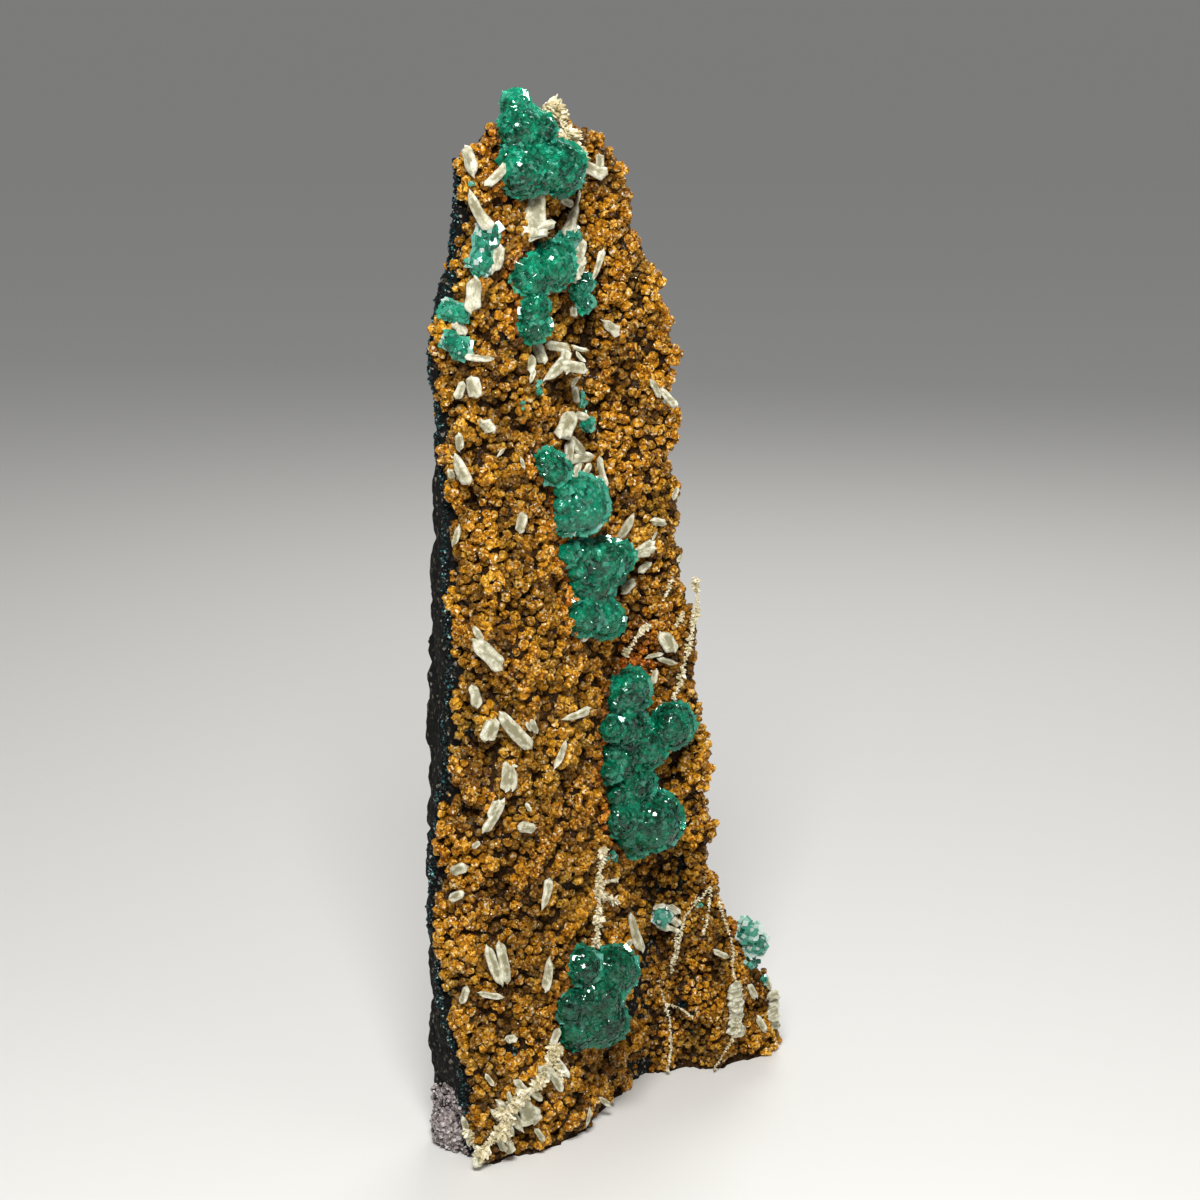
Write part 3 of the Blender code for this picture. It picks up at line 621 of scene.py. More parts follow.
# Each row: root pixel, tip pixel, width in mm, how blunt root and tip are, taper, bend in mm
stilbiteBlades = {
    "stilbite_top_left": [(465, 147, 474, 176, 5.9, 2.6, 1.5, 0.10, 0.4)],
    "stilbite_under_crown_left": [(510, 159, 485, 186, 4.0, 2.0, 3.6, 0.0, 0.8)],
    "stilbite_under_crown_right": [(579, 163, 607, 175, 5.8, 1.8, 3.2, 0.15, -0.4), (600, 154, 600, 168, 3.8, 3, 2, 0, 0)],
    "stilbite_long_left": [(469, 189, 492, 230, 5.4, 1.7, 3.6, 0.28, -1.3)],
    "stilbite_bow_tie": [(538, 188, 531, 239, 11.5, 2.2, 3.6, 0.45, 0.3), (529, 238, 555, 223, 4.4, 2.2, 3.0, 0.2, 1.0),
                         (524, 244, 549, 233, 1.9, 1.4, 2.0, 0, 0.5)],
    "stilbite_upper_right": [(577, 203, 566, 235, 5.0, 1.8, 3.0, 0.35, 0.4), (569, 212, 575, 234, 3.4, 2, 2.4, 0.2, 0)],
    "stilbite_upper_blob": [(583, 239, 578, 262, 4.6, 2.6, 2.4, 0, 0), (576, 242, 570, 262, 4.4, 2.6, 2.2, 0, 0),
                            (586, 258, 569, 270, 5.0, 2.4, 2.4, 0, 0), (572, 264, 576, 282, 5.6, 2.6, 2.8, 0.1, 0),
                            (582, 262, 578, 276, 3.8, 2.2, 2.2, 0, 0)],
    "stilbite_upper_needle": [(603, 249, 592, 282, 3.0, 3.4, 1.4, -0.15, 0.3)],
    "stilbite_upper_oval": [(499, 246, 493, 273, 5.9, 3.2, 2.0, 0, 0.3)],
    "stilbite_left_tall": [(474, 277, 472, 312, 7.0, 2.1, 2.6, 0.12, 0.2)],
    "stilbite_left_stub": [(455, 316, 464, 336, 4.6, 2.4, 2.6, 0.2, 0), (460, 315, 454, 330, 4.2, 2.2, 2.4, 0, 0)],
    "stilbite_left_flat": [(464, 356, 494, 359, 3.1, 2.6, 1.8, -0.1, -0.5)],
    "stilbite_nest": [(536, 343, 544, 364, 5.0, 2.6, 2.4, 0, 0), (545, 345, 570, 350, 4.6, 2.2, 2.4, 0.1, 0.4),
                      (567, 349, 566, 373, 4.6, 2.4, 2.2, 0, -0.4), (567, 357, 544, 381, 5.2, 2.4, 1.5, -0.2, 0.5),
                      (558, 364, 587, 369, 5.2, 1.8, 2.6, 0.1, 0), (571, 345, 589, 350, 2.0, 1.6, 1.6, 0, -0.7),
                      (576, 351, 586, 362, 1.9, 1.6, 1.6, 0, -0.5)],
    "stilbite_left_pair": [(472, 376, 476, 398, 6.2, 2.4, 3.0, 0, 0), (463, 381, 456, 399, 3.9, 2.0, 2.4, 0.1, 0.3)],
    "stilbite_centre_oval": [(572, 412, 561, 438, 7.8, 2.6, 3.0, 0.1, 0.2), (574, 414, 589, 418, 3.6, 2.0, 1.8, 0, 0)],
    "stilbite_left_lens": [(455, 453, 469, 485, 5.7, 1.6, 2.8, 0.2, -0.5)],
    "stilbite_star": [(569, 437, 585, 455, 5.0, 2.4, 1.6, 0.1, 0), (569, 440, 568, 466, 4.2, 2.6, 1.8, -0.1, 0.3),
                      (566, 461, 594, 456, 4.6, 2.4, 1.8, 0, 0.3), (579, 461, 575, 479, 3.6, 2.2, 2.0, 0, 0),
                      (590, 463, 581, 478, 3.0, 2.4, 1.8, 0, 0.4)],
    "stilbite_centre_needle": [(600, 456, 607, 486, 3.0, 2.4, 2.8, 0, -0.9)],
    "stilbite_right_lens": [(634, 513, 617, 541, 4.2, 1.4, 1.5, 0.05, 0.5)],
    "stilbite_right_wedge": [(631, 556, 656, 549, 3.4, 1.8, 3.2, 0.3, 0.3), (632, 553, 654, 541, 3.4, 1.8, 3.2, 0.3, -0.2),
                             (634, 556, 651, 553, 3.0, 1.8, 2.6, 0.2, 0)],
    "stilbite_left_big": [(472, 640, 502, 669, 7.4, 1.9, 2.6, 0.1, 0.5), (473, 626, 483, 642, 3.2, 1.6, 2.0, 0, 0)],
    "stilbite_left_low": [(472, 685, 477, 708, 4.9, 2.4, 2.2, 0.1, 0.4)],
    "stilbite_left_double": [(499, 712, 532, 748, 6.3, 2.3, 2.8, 0.1, -0.6), (494, 719, 486, 741, 7.2, 3.2, 2.6, 0.1, 0)],
    "stilbite_middle_needle": [(562, 719, 590, 709, 3.7, 1.5, 2.8, 0.25, -0.6)],
    "stilbite_middle_spike": [(566, 740, 554, 769, 3.1, 1.8, 1.5, 0.1, 0.5)],
    "stilbite_flank_blob": [(508, 760, 505, 792, 4.8, 3.2, 3.0, 0, 0), (514, 762, 512, 790, 4.2, 3.2, 2.8, 0, 0),
                            (504, 798, 483, 833, 4.4, 2.0, 2.2, 0.15, 0.6), (498, 800, 490, 818, 4.2, 2.4, 2.2, 0, 0)],
    "stilbite_low_spike": [(549, 878, 542, 910, 4.0, 2.8, 1.3, -0.15, 0.6)],
    "stilbite_right_oval": [(661, 632, 674, 652, 7.4, 2.2, 2.4, 0.1, 0)],
    "stilbite_wing_blade": [(630, 911, 642, 952, 4.7, 1.7, 2.8, 0.25, -0.5), (626, 946, 633, 940, 2.8, 2, 2, 0, 0)],
    "stilbite_left_twin": [(487, 945, 502, 986, 5.0, 2.0, 2.4, -0.1, -0.4), (499, 941, 507, 984, 4.9, 2.4, 3.0, -0.05, 0.3)],
    "stilbite_low_blade": [(550, 958, 545, 991, 4.5, 1.7, 2.8, 0.05, 0.3)],
}
# The small blades that aren't CAD nodes, in the same form
smallBlades = [
    (560, 199, 573, 205, 3.4, 2, 2.4, 0, 0), (580, 190, 575, 208, 1.8, 1.6, 2, 0, 0.2), (573, 307, 574, 317, 3.2, 2.2, 2.2, 0, 0),
    (602, 321, 619, 333, 5.2, 1.6, 3.0, 0.3, 0), (532, 355, 530, 373, 3.6, 2, 2, 0, 0.4), (535, 369, 530, 383, 2.2, 2, 1.6, 0, 0),
    (578, 377, 571, 387, 2.0, 1.6, 1.8, 0, 0), (574, 385, 577, 403, 3.2, 2.4, 2.4, 0, 0), (458, 433, 460, 451, 3.6, 2, 2.2, 0, 0.2),
    (483, 420, 492, 432, 5.4, 2.4, 2.6, 0, 0), (449, 469, 453, 479, 3.0, 2, 2, 0, 0), (497, 457, 505, 448, 1.4, 1.5, 1.5, 0, 0),
    (521, 457, 524, 469, 1.7, 1.6, 1.8, 0, 0), (600, 475, 594, 482, 1.4, 1.5, 1.8, 0, 0), (524, 512, 519, 533, 4.6, 2.6, 2.6, 0, 0),
    (459, 525, 453, 546, 2.8, 1.6, 1.8, 0.1, 0.3), (651, 521, 666, 523, 3.8, 2.2, 2.2, 0, 0), (657, 531, 652, 541, 1.2, 1.5, 1.5, 0, 0),
    (639, 573, 651, 562, 3.6, 2, 1.8, 0, 0.3), (621, 593, 635, 580, 4.4, 2, 2.2, 0, 0), (650, 379, 660, 398, 3.4, 1.8, 2, 0.1, 0.3),
    (660, 387, 677, 407, 3.9, 1.8, 2.4, 0.2, -0.3), (679, 413, 688, 409, 2.8, 2, 2, 0, 0), (645, 658, 664, 654, 2.1, 1.6, 1.8, 0, 0.3),
    (657, 658, 676, 664, 2.8, 1.8, 1.8, 0, 0), (656, 669, 653, 685, 3.2, 2, 2, 0, 0), (531, 719, 537, 734, 2.8, 1.8, 1.6, 0, 0),
    (526, 722, 531, 731, 2.2, 2, 2, 0, 0), (518, 826, 535, 829, 5.0, 2.2, 2.2, 0, 0), (451, 872, 467, 866, 4.8, 2, 2, 0, 0),
    (449, 899, 464, 893, 4.2, 2, 2, 0, 0), (472, 848, 480, 842, 2.6, 2, 2, 0, 0), (478, 993, 504, 997, 2.8, 2, 1.8, 0, -0.3),
    (467, 986, 461, 1004, 3.6, 2, 2, 0, 0.3), (485, 1074, 494, 1086, 2.2, 1.8, 2, 0, 0), (506, 1040, 516, 1038, 3.8, 2.4, 2.4, 0, 0),
    (535, 1128, 544, 1141, 2.8, 2, 2, 0, 0), (599, 1098, 611, 1106, 2.8, 1.8, 1.8, 0, 0), (590, 1107, 586, 1127, 2.0, 1.6, 1.6, 0, 0.3),
    (713, 950, 729, 957, 2.9, 2, 2, 0, -0.3), (748, 983, 757, 998, 3.2, 2, 2, 0, 0), (757, 1016, 766, 1032, 3.6, 2, 2, 0, 0),
    (708, 692, 713, 703, 2.4, 2, 2, 0, 0), (720, 861, 723, 887, 3.6, 2, 2.2, 0, 0), (526, 803, 531, 812, 2.2, 1.8, 1.6, 0, 0),
    (678, 487, 673, 500, 2.6, 2, 2, 0, 0), (682, 555, 677, 562, 2.0, 2, 2, 0, 0), (559, 1028, 552, 1046, 3.8, 2, 2, 0, 0),
    (592, 628, 580, 640, 4.6, 2.2, 2.4, 0, 0), (590, 532, 600, 525, 4.0, 2, 2, 0, 0), (736, 903, 743, 917, 4.4, 2.2, 2.2, 0, 0),
    (555, 1058, 568, 1077, 3.9, 2.4, 2.6, 0.1, 0), (546, 1066, 562, 1092, 4.0, 2.4, 2.4, 0.1, 0.5), (539, 1066, 549, 1081, 3.4, 2.6, 2.4, 0, 0),
    (514, 1079, 529, 1097, 3.6, 2.0, 1.6, 0, 0.3), (529, 1089, 542, 1100, 3.4, 2.4, 2.4, 0, 0), (508, 1091, 512, 1107, 2.2, 2, 2, 0, 0),
    (520, 1096, 533, 1124, 8.6, 2.4, 3.4, 0.45, 0), (516, 1104, 538, 1116, 6.4, 2.4, 3.0, 0.3, 0), (496, 1101, 523, 1131, 5.6, 2.0, 1.6, 0.1, 0.8),
    (491, 1109, 513, 1136, 5.0, 2.0, 1.8, 0.1, 0.8), (503, 1135, 512, 1153, 4.4, 2.4, 3.0, 0.3, 0), (497, 1137, 505, 1151, 3.6, 2.4, 2.4, 0.2, 0),
    (462, 1116, 470, 1147, 3.2, 2.2, 2.4, 0, 0.5), (481, 1150, 476, 1168, 5.0, 2.6, 2.2, 0, 0),
    (653, 909, 666, 905, 3.0, 2, 2, 0, 0), (668, 905, 680, 914, 3.6, 2, 2, 0, 0), (655, 922, 670, 929, 4.4, 2, 2, 0, 0),
    (671, 918, 681, 926, 4.0, 2, 2, 0, 0), (664, 927, 680, 932, 2.6, 2, 2, 0, 0.3),
    (731, 897, 739, 909, 3.4, 2, 2, 0, 0), (736, 908, 745, 919, 3.8, 2, 2, 0, 0), (756, 947, 763, 957, 2.8, 2, 2, 0, 0),
    (762, 958, 769, 972, 3.4, 2, 2, 0, 0), (765, 975, 771, 990, 2.8, 2, 2, 0, 0), (749, 985, 755, 999, 2.8, 2, 2, 0, 0),
]
# Fans of broad scales that lie on each other: first and last scale's ends in pixels, how many, width in mm
fanRng = np.random.default_rng(17)
for first, last, count, width in (((730, 988, 741, 984), (729, 1036, 743, 1032), 15, 4.2),
                                  ((768, 996, 777, 992), (769, 1030, 779, 1027), 11, 3.6)):
    for step in range(count):
        ends = [a + (b - a) * step / (count - 1) + fanRng.normal(0, 1.3) for a, b in zip(first, last)]
        smallBlades.append((*ends, width * fanRng.uniform(0.8, 1.3), 2.4, 2.0, 0.1, fanRng.normal(0, 0.5)))

bladeSettings = {"stations": 11, "sides": 16, "slim": 0.93, "thickness": 0.72, "thickest": 4.4 * mm, "lift": 1.4 * mm,
                 "groove": 0.1, "smooth": 60}

lathUnit, lathFaces = modelLath(bladeSettings["stations"], bladeSettings["sides"])
rng = np.random.default_rng(3)


def bladeShape(root, tip, row, rng):  # one blade as vertices, with how deep in the core and where across and along
    width, rootEnd, tipEnd, taper, bend = row[4] * bladeSettings["slim"] * mm, row[5], row[6], row[7], row[8] * mm
    x, y, z = lathUnit.T
    room = np.clip(1 - np.abs(z), 0, 1)
    chisel = 1.15 / np.where(z < 0, rootEnd, tipEnd) ** 1.6  # the share of the length that the end narrows over
    swell = np.sin(np.clip(room / (1.25 * chisel), 0, 1) * pi / 2) ** 0.8 * 0.93 + 0.07
    swell = swell * (1 + taper * z) / (1 + abs(taper) * 0.35)
    swell *= 1 + 0.05 * np.sin(z * 5 + rng.uniform(0, 6))
    thin = (np.clip(room / (0.7 * chisel), 0, 1) ** 0.8 * 0.75 + 0.25)
    axis = tip - root
    length = np.linalg.norm(axis)
    axis /= length
    facing = cameraPlace - (root + tip) / 2
    facing = facing / np.linalg.norm(facing) + rng.normal(0, 0.2, 3)
    facing -= axis * (facing @ axis)
    facing /= np.linalg.norm(facing)
    side = np.cross(facing, axis)
    thick = min(width * bladeSettings["thickness"], bladeSettings["thickest"])
    y = y * (1 + bladeSettings["groove"] * np.cos(x * rng.uniform(6, 9) + rng.uniform(0, 6)) * (1 - np.abs(x)))
    y = y + 0.25 * rng.uniform(-1, 1) * x * (np.abs(x) < 0.95)  # one side of the face stands higher
    lean = rng.uniform(-0.25, 0.25) * width  # the end faces are cut on a slant
    places = ((root + tip) / 2 + np.outer(z * length / 2 + lean * x * np.abs(z) ** 4, axis)
              + np.outer(x * swell * width / 2 + bend * (1 - z ** 2), side)
              + np.outer(y * thin * thick / 2, facing))
    return places, {"core": np.clip(1 - np.abs(x) * 1.2, 0, 1) * (1 - z ** 2), "across": x * swell * width / 2 / mm + rng.uniform(0, 50),
                    "along": z * length / 2 / mm}


def bladesPiece(name, rows, nodePlaces):
    places, corners, values = [], [], []
    for row in rows:
        ends = endsOf(row, nodePlaces, bladeSettings["lift"] if nodePlaces is None else 0)
        if ends is None:
            continue
        shape, value = bladeShape(*ends, row, rng)
        corners.append(lathFaces + len(lathUnit) * len(places))
        places.append(shape)
        values.append(value)
    return pieceFromArrays(name, np.concatenate(places), np.concatenate(corners),
                           {key: np.concatenate([value[key] for value in values]) for key in values[0]})


def camelName(nodeName):
    words = nodeName.split("_")
    return words[0] + "".join(word.title() for word in words[1:])


crystals = []
for nodeName, rows in stilbiteBlades.items():
    piece = bladesPiece(camelName(nodeName), rows, placesOf(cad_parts[nodeName].data))
    finishPiece(piece, stilbite, [nodeName], smooth=bladeSettings["smooth"])
    crystals.append(piece)
small = bladesPiece("smallStilbites", smallBlades, None)
finishPiece(small, stilbite, smooth=bladeSettings["smooth"])
crystals.append(small)
print("stilbite done")


# Stringers: strings of tiny stilbite blades that creep over the crust ----------------------

# Pixels that each passes, its width in mm, and the CAD node it stands for
stringerLines = {
    "stringerTop": ([(546, 106), (557, 112), (563, 124), (568, 137), (575, 148), (583, 158)], 8.4, "stringer_top"),
    "stringerRight": ([(694, 577), (698, 601), (692, 632), (685, 661), (679, 686), (673, 700)], 3.6, "stringer_right"),
    "stringerSide": ([(650, 623), (641, 632), (633, 643), (625, 656)], 3.4, "stringer_side"),
    "stringerMiddle": ([(604, 848), (600, 864), (598, 888), (599, 922), (596, 948)], 4.8, "stringer_middle"),
    "stringerFoot": ([(558, 1045), (553, 1056), (540, 1079), (530, 1093), (519, 1100), (508, 1113), (503, 1131),
                      (488, 1143), (478, 1160)], 6.0, "stringer_foot"),
    "stringerWingLeft": ([(662, 953), (659, 982), (665, 1003), (670, 1021), (671, 1051), (667, 1072)], 1.9, "stringer_wing_left"),
    "stringerWingMiddle": ([(699, 897), (692, 908), (685, 916), (680, 940), (675, 962)], 1.7, "stringer_wing_middle"),
    "stringerWingRight": ([(719, 897), (722, 914), (729, 930), (733, 948), (733, 972), (738, 992), (736, 1034), (727, 1048),
                           (714, 1071)], 2.0, "stringer_wing_right"),
}
# Lesser strings with no node of their own
smallLines = [([(673, 577), (668, 590), (663, 602)], 2.4), ([(690, 593), (684, 612), (676, 626)], 2.6),
              ([(600, 884), (610, 881), (618, 880)], 2.4), ([(600, 895), (609, 899), (618, 903)], 4.0),
              ([(678, 930), (675, 952), (672, 973)], 2.6), ([(711, 888), (708, 917), (703, 935)], 1.6),
              ([(504, 1113), (512, 1120), (520, 1126)], 4.4), ([(497, 1108), (503, 1118), (508, 1128)], 4.6),
              ([(465, 1128), (472, 1140), (478, 1152)], 4.2), ([(503, 1131), (508, 1142), (512, 1150)], 4.4),
              ([(551, 1062), (560, 1070), (562, 1082)], 4.0), ([(519, 1090), (524, 1098), (530, 1110)], 5.4),
              ([(690, 905), (701, 898), (710, 886)], 1.8), ([(666, 1004), (680, 1008), (693, 1018)], 1.3)]
stringerSettings = {"perMm": 3.5, "widen": 1.5, "blade": (0.6, 0.24), "long": 0.5}

flakeUnit, flakeFaces = modelLath(3, 6)
flakeUnit[:, :2] *= (1 - 0.72 * np.abs(flakeUnit[:, 2:]) ** 2)


def stringPiece(name, lines, rng):
    centres, turns, sizes, cores = [], [], [], []
    for pixels, width, nodeName in lines:
        width *= stringerSettings["widen"]
        nodePlaces = placesOf(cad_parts[nodeName].data) if nodeName else None
        knots = []
        for pixel in pixels:
            depth = depthOnNode(nodePlaces, *pixel, reach=9.0) if nodeName else depthOnBed(*pixel)
            if depth is not None:
                knots.append(cameraPlace + rayThrough(*pixel) * (depth - (0.8 * mm if nodeName else 0.25 * width * mm)))
        knots = np.array(knots)
        steps = np.linalg.norm(np.diff(knots, axis=0), axis=1)
        count = int(steps.sum() / mm * stringerSettings["perMm"] * max(1.0, width / 3.0))
        spots = np.sort(rng.random(count)) * steps.sum()
        marks = np.concatenate([[0], np.cumsum(steps)])
        line = np.stack([np.interp(spots, marks, knots[:, i]) for i in range(3)], 1)
        ahead = np.stack([np.interp(spots + 0.5 * mm, marks, knots[:, i]) for i in range(3)], 1)
        behind = np.stack([np.interp(spots - 0.5 * mm, marks, knots[:, i]) for i in range(3)], 1)
        along = ahead - behind
        along /= np.linalg.norm(along, axis=1, keepdims=True)
        out = rng.normal(size=line.shape)
        out -= along * (out * along).sum(1, keepdims=True)
        out /= np.linalg.norm(out, axis=1, keepdims=True)
        beat = 0.75 + 0.3 * np.sin(spots / (2.2 * mm)) + rng.normal(0, 0.1, count)
        lean = out + along * rng.normal(0.25, 0.35, count)[:, None]
        reach = width / 2 * mm * beat * rng.uniform(0.55, 1.0, count)
        centres.append(line + out * (reach * 0.42)[:, None])
        turns.append(turnsAlong(rng, lean))
        long = np.maximum(reach * stringerSettings["long"], 0.6 * mm)
        sizes.append(np.stack([np.minimum(long * stringerSettings["blade"][0], 1.3 * mm),
                               np.minimum(long * stringerSettings["blade"][1], 0.5 * mm) + 0.1 * mm, long], 1))
        cores.append(rng.uniform(0, 0.8, count))
    return scatter(name, [(flakeUnit, flakeFaces)], rng, np.concatenate(centres), np.concatenate(turns),
                   np.concatenate(sizes), {"core": np.concatenate(cores)})


for pieceName, (pixels, width, nodeName) in stringerLines.items():
    piece = stringPiece(pieceName, [(pixels, width, nodeName)], rng)
    finishPiece(piece, stringerStilbite, [nodeName])
    crystals.append(piece)
piece = stringPiece("smallStringers", [(pixels, width, None) for pixels, width in smallLines], rng)
finishPiece(piece, stringerStilbite)
crystals.append(piece)
print("stringers done", sum(len(piece.data.polygons) for piece in crystals))


# Apophyllite: rounded bodies built of pseudo-cubic crystals, with thin plates round their flanks ---------

apophylliteSettings = {
    "voxel": 0.9 * mm, "crystal": (0.75 * mm, 1.6 * mm), "long": 1.4, "spacing": 1.9, "proud": (-0.1 * mm, 0.45 * mm),
    "lean": 0.2, "plate": (1.2 * mm, 2.4 * mm), "plateThickness": 0.1 * mm, "plateSpacing": 1.6 * mm,
}
def deepAndShadedLow(places):  # darker low on the slab: partly a deeper green, partly painted shade of the light's fall-off
    return np.clip((0.31 - places[:, 2]) / 0.26, 0, 1)


# Thin groups that are paler, and how much
paleBodies = {"apophyllite_wing_pair": 0.6, "apophyllite_wing_edge": 0.6, "apophyllite_upper_left": 0.45, "apophyllite_upper_cubes": 0.3,
              "apophyllite_great_disc": 0.25, "apophyllite_left_edge": 0.4, "apophyllite_left_tuft": 0.3, "apophyllite_small_fan": 0.3, "apophyllite_trio": 0.2}


# Bodies whose face is one smooth disc, so that the crystals there are low and broad
smoothFaces = {"apophyllite_great_disc": 0.12, "apophyllite_small_disc": 0.5, "apophyllite_middle": 0.35}

# Lobes that a body carries beside the node's own form: pixel and radius in mm
lobes = {
    "apophyllite_crown": [(530, 119, 4.4), (518, 130, 5.0), (536, 132, 5.5), (511, 104, 3.4)],
    "apophyllite_middle": [(567, 553, 4.6), (575, 567, 5.6), (583, 553, 5.4), (598, 556, 6.4), (614, 556, 5.6), (580, 584, 5.4),
                           (600, 584, 6.4), (613, 570, 5.6), (577, 616, 5.4)],
    "apophyllite_complex": [(616, 704, 4.6), (611, 728, 5.0), (610, 752, 5.0), (609, 771, 4.6), (628, 752, 5.5), (634, 778, 6.0),
                            (616, 795, 4.6), (618, 818, 6.0), (626, 836, 6.0), (650, 800, 5.0)],
    "apophyllite_great_disc": [(562, 489, 3.6), (560, 505, 3.2)],
}

bodies, blocks, plates = [], [], []
blockShapes = [modelBlock(1.0, 0.7, 0.3, 0.12), modelBlock(0.95, 0.6, 0.5, 0.2), modelBlock(1.05, 0.7, 0.2, 0.05)]
plateShapes = [(unit * (1, 1, 0.1), faces) for unit, faces in (modelBlock(1, 1, 0.45, 0.0), modelBlock(0.9, 1, 0.3, 0.0))]
for nodeName in [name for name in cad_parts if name.startswith("apophyllite_")]:
    crystal = copyOfNode(nodeName, camelName(nodeName))
    for px, py, radius in lobes.get(nodeName, []):
        meets = depthOnBed(px, py)
        depth = depthOnNode(placesOf(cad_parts[nodeName].data), px, py) if meets is None else meets - 0.35 * radius * mm
        bpy.ops.mesh.primitive_ico_sphere_add(subdivisions=3, radius=radius * mm, location=cameraPlace + rayThrough(px, py) * depth)
        crystal.select_set(True)
        bpy.context.view_layer.objects.active = crystal
        bpy.ops.object.join()
    applyModifier(crystal, "REMESH", mode="VOXEL", voxel_size=apophylliteSettings["voxel"])
    applyModifier(crystal, "SMOOTH", iterations=5, factor=0.5)
    # darker low on the slab, partly painted shade
    crystal.data.attributes.new("deep", "FLOAT", "POINT").data.foreach_set("value", deepAndShadedLow(placesOf(crystal.data)).astype(np.float32))
    pale = paleBodies.get(nodeName, 0.0)
    crystal.data.attributes.new("pale", "FLOAT", "POINT").data.foreach_set("value", np.full(len(crystal.data.vertices), pale, np.float32))
    finishPiece(crystal, apophyllite, [nodeName], smooth=180)
    bodies.append(crystal)
    calm = smoothFaces.get(nodeName, 1.0)
    area = sum(face.area for face in crystal.data.polygons)
    points, outward = surfacePoints(crystal.data, int(area / (0.35 * mm) ** 2) + 80, rng, lambda middles, flats: np.ones(len(middles)))
    low, high = apophylliteSettings["crystal"]
    size = low + (high - low) * rng.random(len(points)) ** 1.4
    bare = heightsOver(bedTree, points) > 0  # none where the crust hides the body
    points, outward, size = points[bare], outward[bare], size[bare]
    kept = spaced(points, size * apophylliteSettings["spacing"])
    points, outward, size = points[kept], outward[kept], size[kept]
    proud = rng.uniform(*apophylliteSettings["proud"], len(points)) * calm
    lean = outward + rng.normal(0, apophylliteSettings["lean"] * calm, outward.shape)
    blocks.append((points + outward * (proud - size * apophylliteSettings["long"])[:, None], turnsAlong(rng, lean),
                   np.stack([size, size, size * apophylliteSettings["long"]], 1),
                   np.clip(pale + rng.normal(0, 0.12 + 0.35 * pale, len(size)), 0, 1)))

    out = cameraPlace - placesOf(crystal.data).mean(0)
    out /= np.linalg.norm(out)
    points, outward = surfacePoints(crystal.data, int(area / (0.4 * mm) ** 2) + 60, rng,
                                    lambda middles, flats: ((flats @ out > -0.5) & (flats @ out < 0.12)).astype(float) + 1e-6)
    bare = heightsOver(bedTree, points) > 0
    points, outward = points[bare], outward[bare]
    kept = spaced(points, np.full(len(points), apophylliteSettings["plateSpacing"]))
    points, outward = points[kept], outward[kept]
    facing = out * 0.9 + outward * 0.35 + rng.normal(0, 0.24, points.shape)
    low, high = apophylliteSettings["plate"]
    size = rng.uniform(low, high, len(points)) * min(1.0, crystal.dimensions.z / (16 * mm) + 0.3)
    plates.append((points, turnsAlong(rng, facing),
                   np.stack([size, size * rng.uniform(0.75, 1.0, len(size)), np.full(len(size), apophylliteSettings["plateThickness"] * 10)], 1),
                   np.clip(pale + 0.35 + rng.normal(0, 0.15, len(size)), 0, 1)))
crystals += bodies

# Small apophyllite clusters with no node of their own: pixel, width and height in mm, crystal half-width in mm
greenBits = [(472, 184, 3.0, 2.4, 0.7), (539, 388, 2.2, 6.0, 0.7), (523, 404, 2.0, 3.0, 0.6), (583, 400, 2.6, 7.0, 0.8),
             (612, 857, 3.4, 3.4, 0.8), (733, 902, 3.6, 3.0, 0.8), (752, 962, 4.0, 6.0, 0.8), (765, 978, 3.0, 6.0, 0.7),
             (470, 264, 3.4, 2.6, 0.8), (756, 940, 3.4, 5.0, 0.9), (741, 908, 4.0, 3.4, 0.8), (571, 240, 3.2, 3.2, 0.8),
             (489, 232, 2.6, 2.2, 0.9), (590, 524, 2.0, 2.0, 0.6), (700, 905, 2.4, 2.0, 0.6), (447, 318, 2.6, 2.4, 0.8)]
centres, facings, sizes = [], [], []
for px, py, wide, tall, half in greenBits:
    for _ in range(max(4, int(wide * tall * 0.9))):
        spotX, spotY = px + rng.normal(0, 0.3) * wide / 0.42, py + rng.normal(0, 0.3) * tall / 0.42
        depth = depthOnBed(spotX, spotY)
        if depth is not None:
            centres.append(cameraPlace + rayThrough(spotX, spotY) * (depth - rng.uniform(0.2, 2.0) * mm))
            facings.append(rng.normal(0, 0.5, 3) + (-0.5, -0.8, 0.3))
            sizes.append(half * rng.uniform(0.7, 1.25) * mm)
sizes = np.array(sizes)
blocks.append((np.array(centres), turnsAlong(rng, np.array(facings)), np.stack([sizes, sizes, sizes * 1.2], 1),
               rng.uniform(0.3, 0.9, len(sizes))))

for name, shapes, parts in (("apophylliteCrystals", blockShapes, blocks), ("apophyllitePlates", plateShapes, plates)):
    placed = [np.concatenate(part) for part in zip(*parts)]
    # darker low on the slab, partly painted shade
    piece = scatter(name, shapes, rng, *placed[:3], {"deep": deepAndShadedLow(placed[0]), "pale": placed[3]})
    finishPiece(piece, apophyllite)
    print(name, len(piece.data.polygons))


# Quartz at the foot ------------------------------------------------------------------

quartzSettings = {"voxel": 0.8 * mm, "facet": 2.6 * mm, "tip": 0.8, "thinner": 1.5 * mm, "reach": 11 * mm, "spacing": 1.5 * mm}

foot = copyOfNode("quartz_foot", "quartzFoot")
applyModifier(foot, "REMESH", mode="VOXEL", voxel_size=quartzSettings["voxel"])
footPlaces, footNormals = placesOf(foot.data), normalsOf(foot.data)
shifts = []
for place in footPlaces:
    cell = noise.voronoi(Vector(place) / quartzSettings["facet"])[1][0]
    offset = Vector(place) - cell * quartzSettings["facet"]
    shifts.append(noise.noise_vector(cell * 7.3).dot(offset) * quartzSettings["tip"] + 0.5 * mm * noise.noise(cell * 3.1))
footPlaces += footNormals * (np.array(shifts) - quartzSettings["thinner"])[:, None]
footPlaces[:, 2] = np.maximum(footPlaces[:, 2], 0.0)
movePlaces(foot.data, footPlaces)
finishPiece(foot, quartz, ["quartz_foot"], smooth=30)
crystals.append(foot)

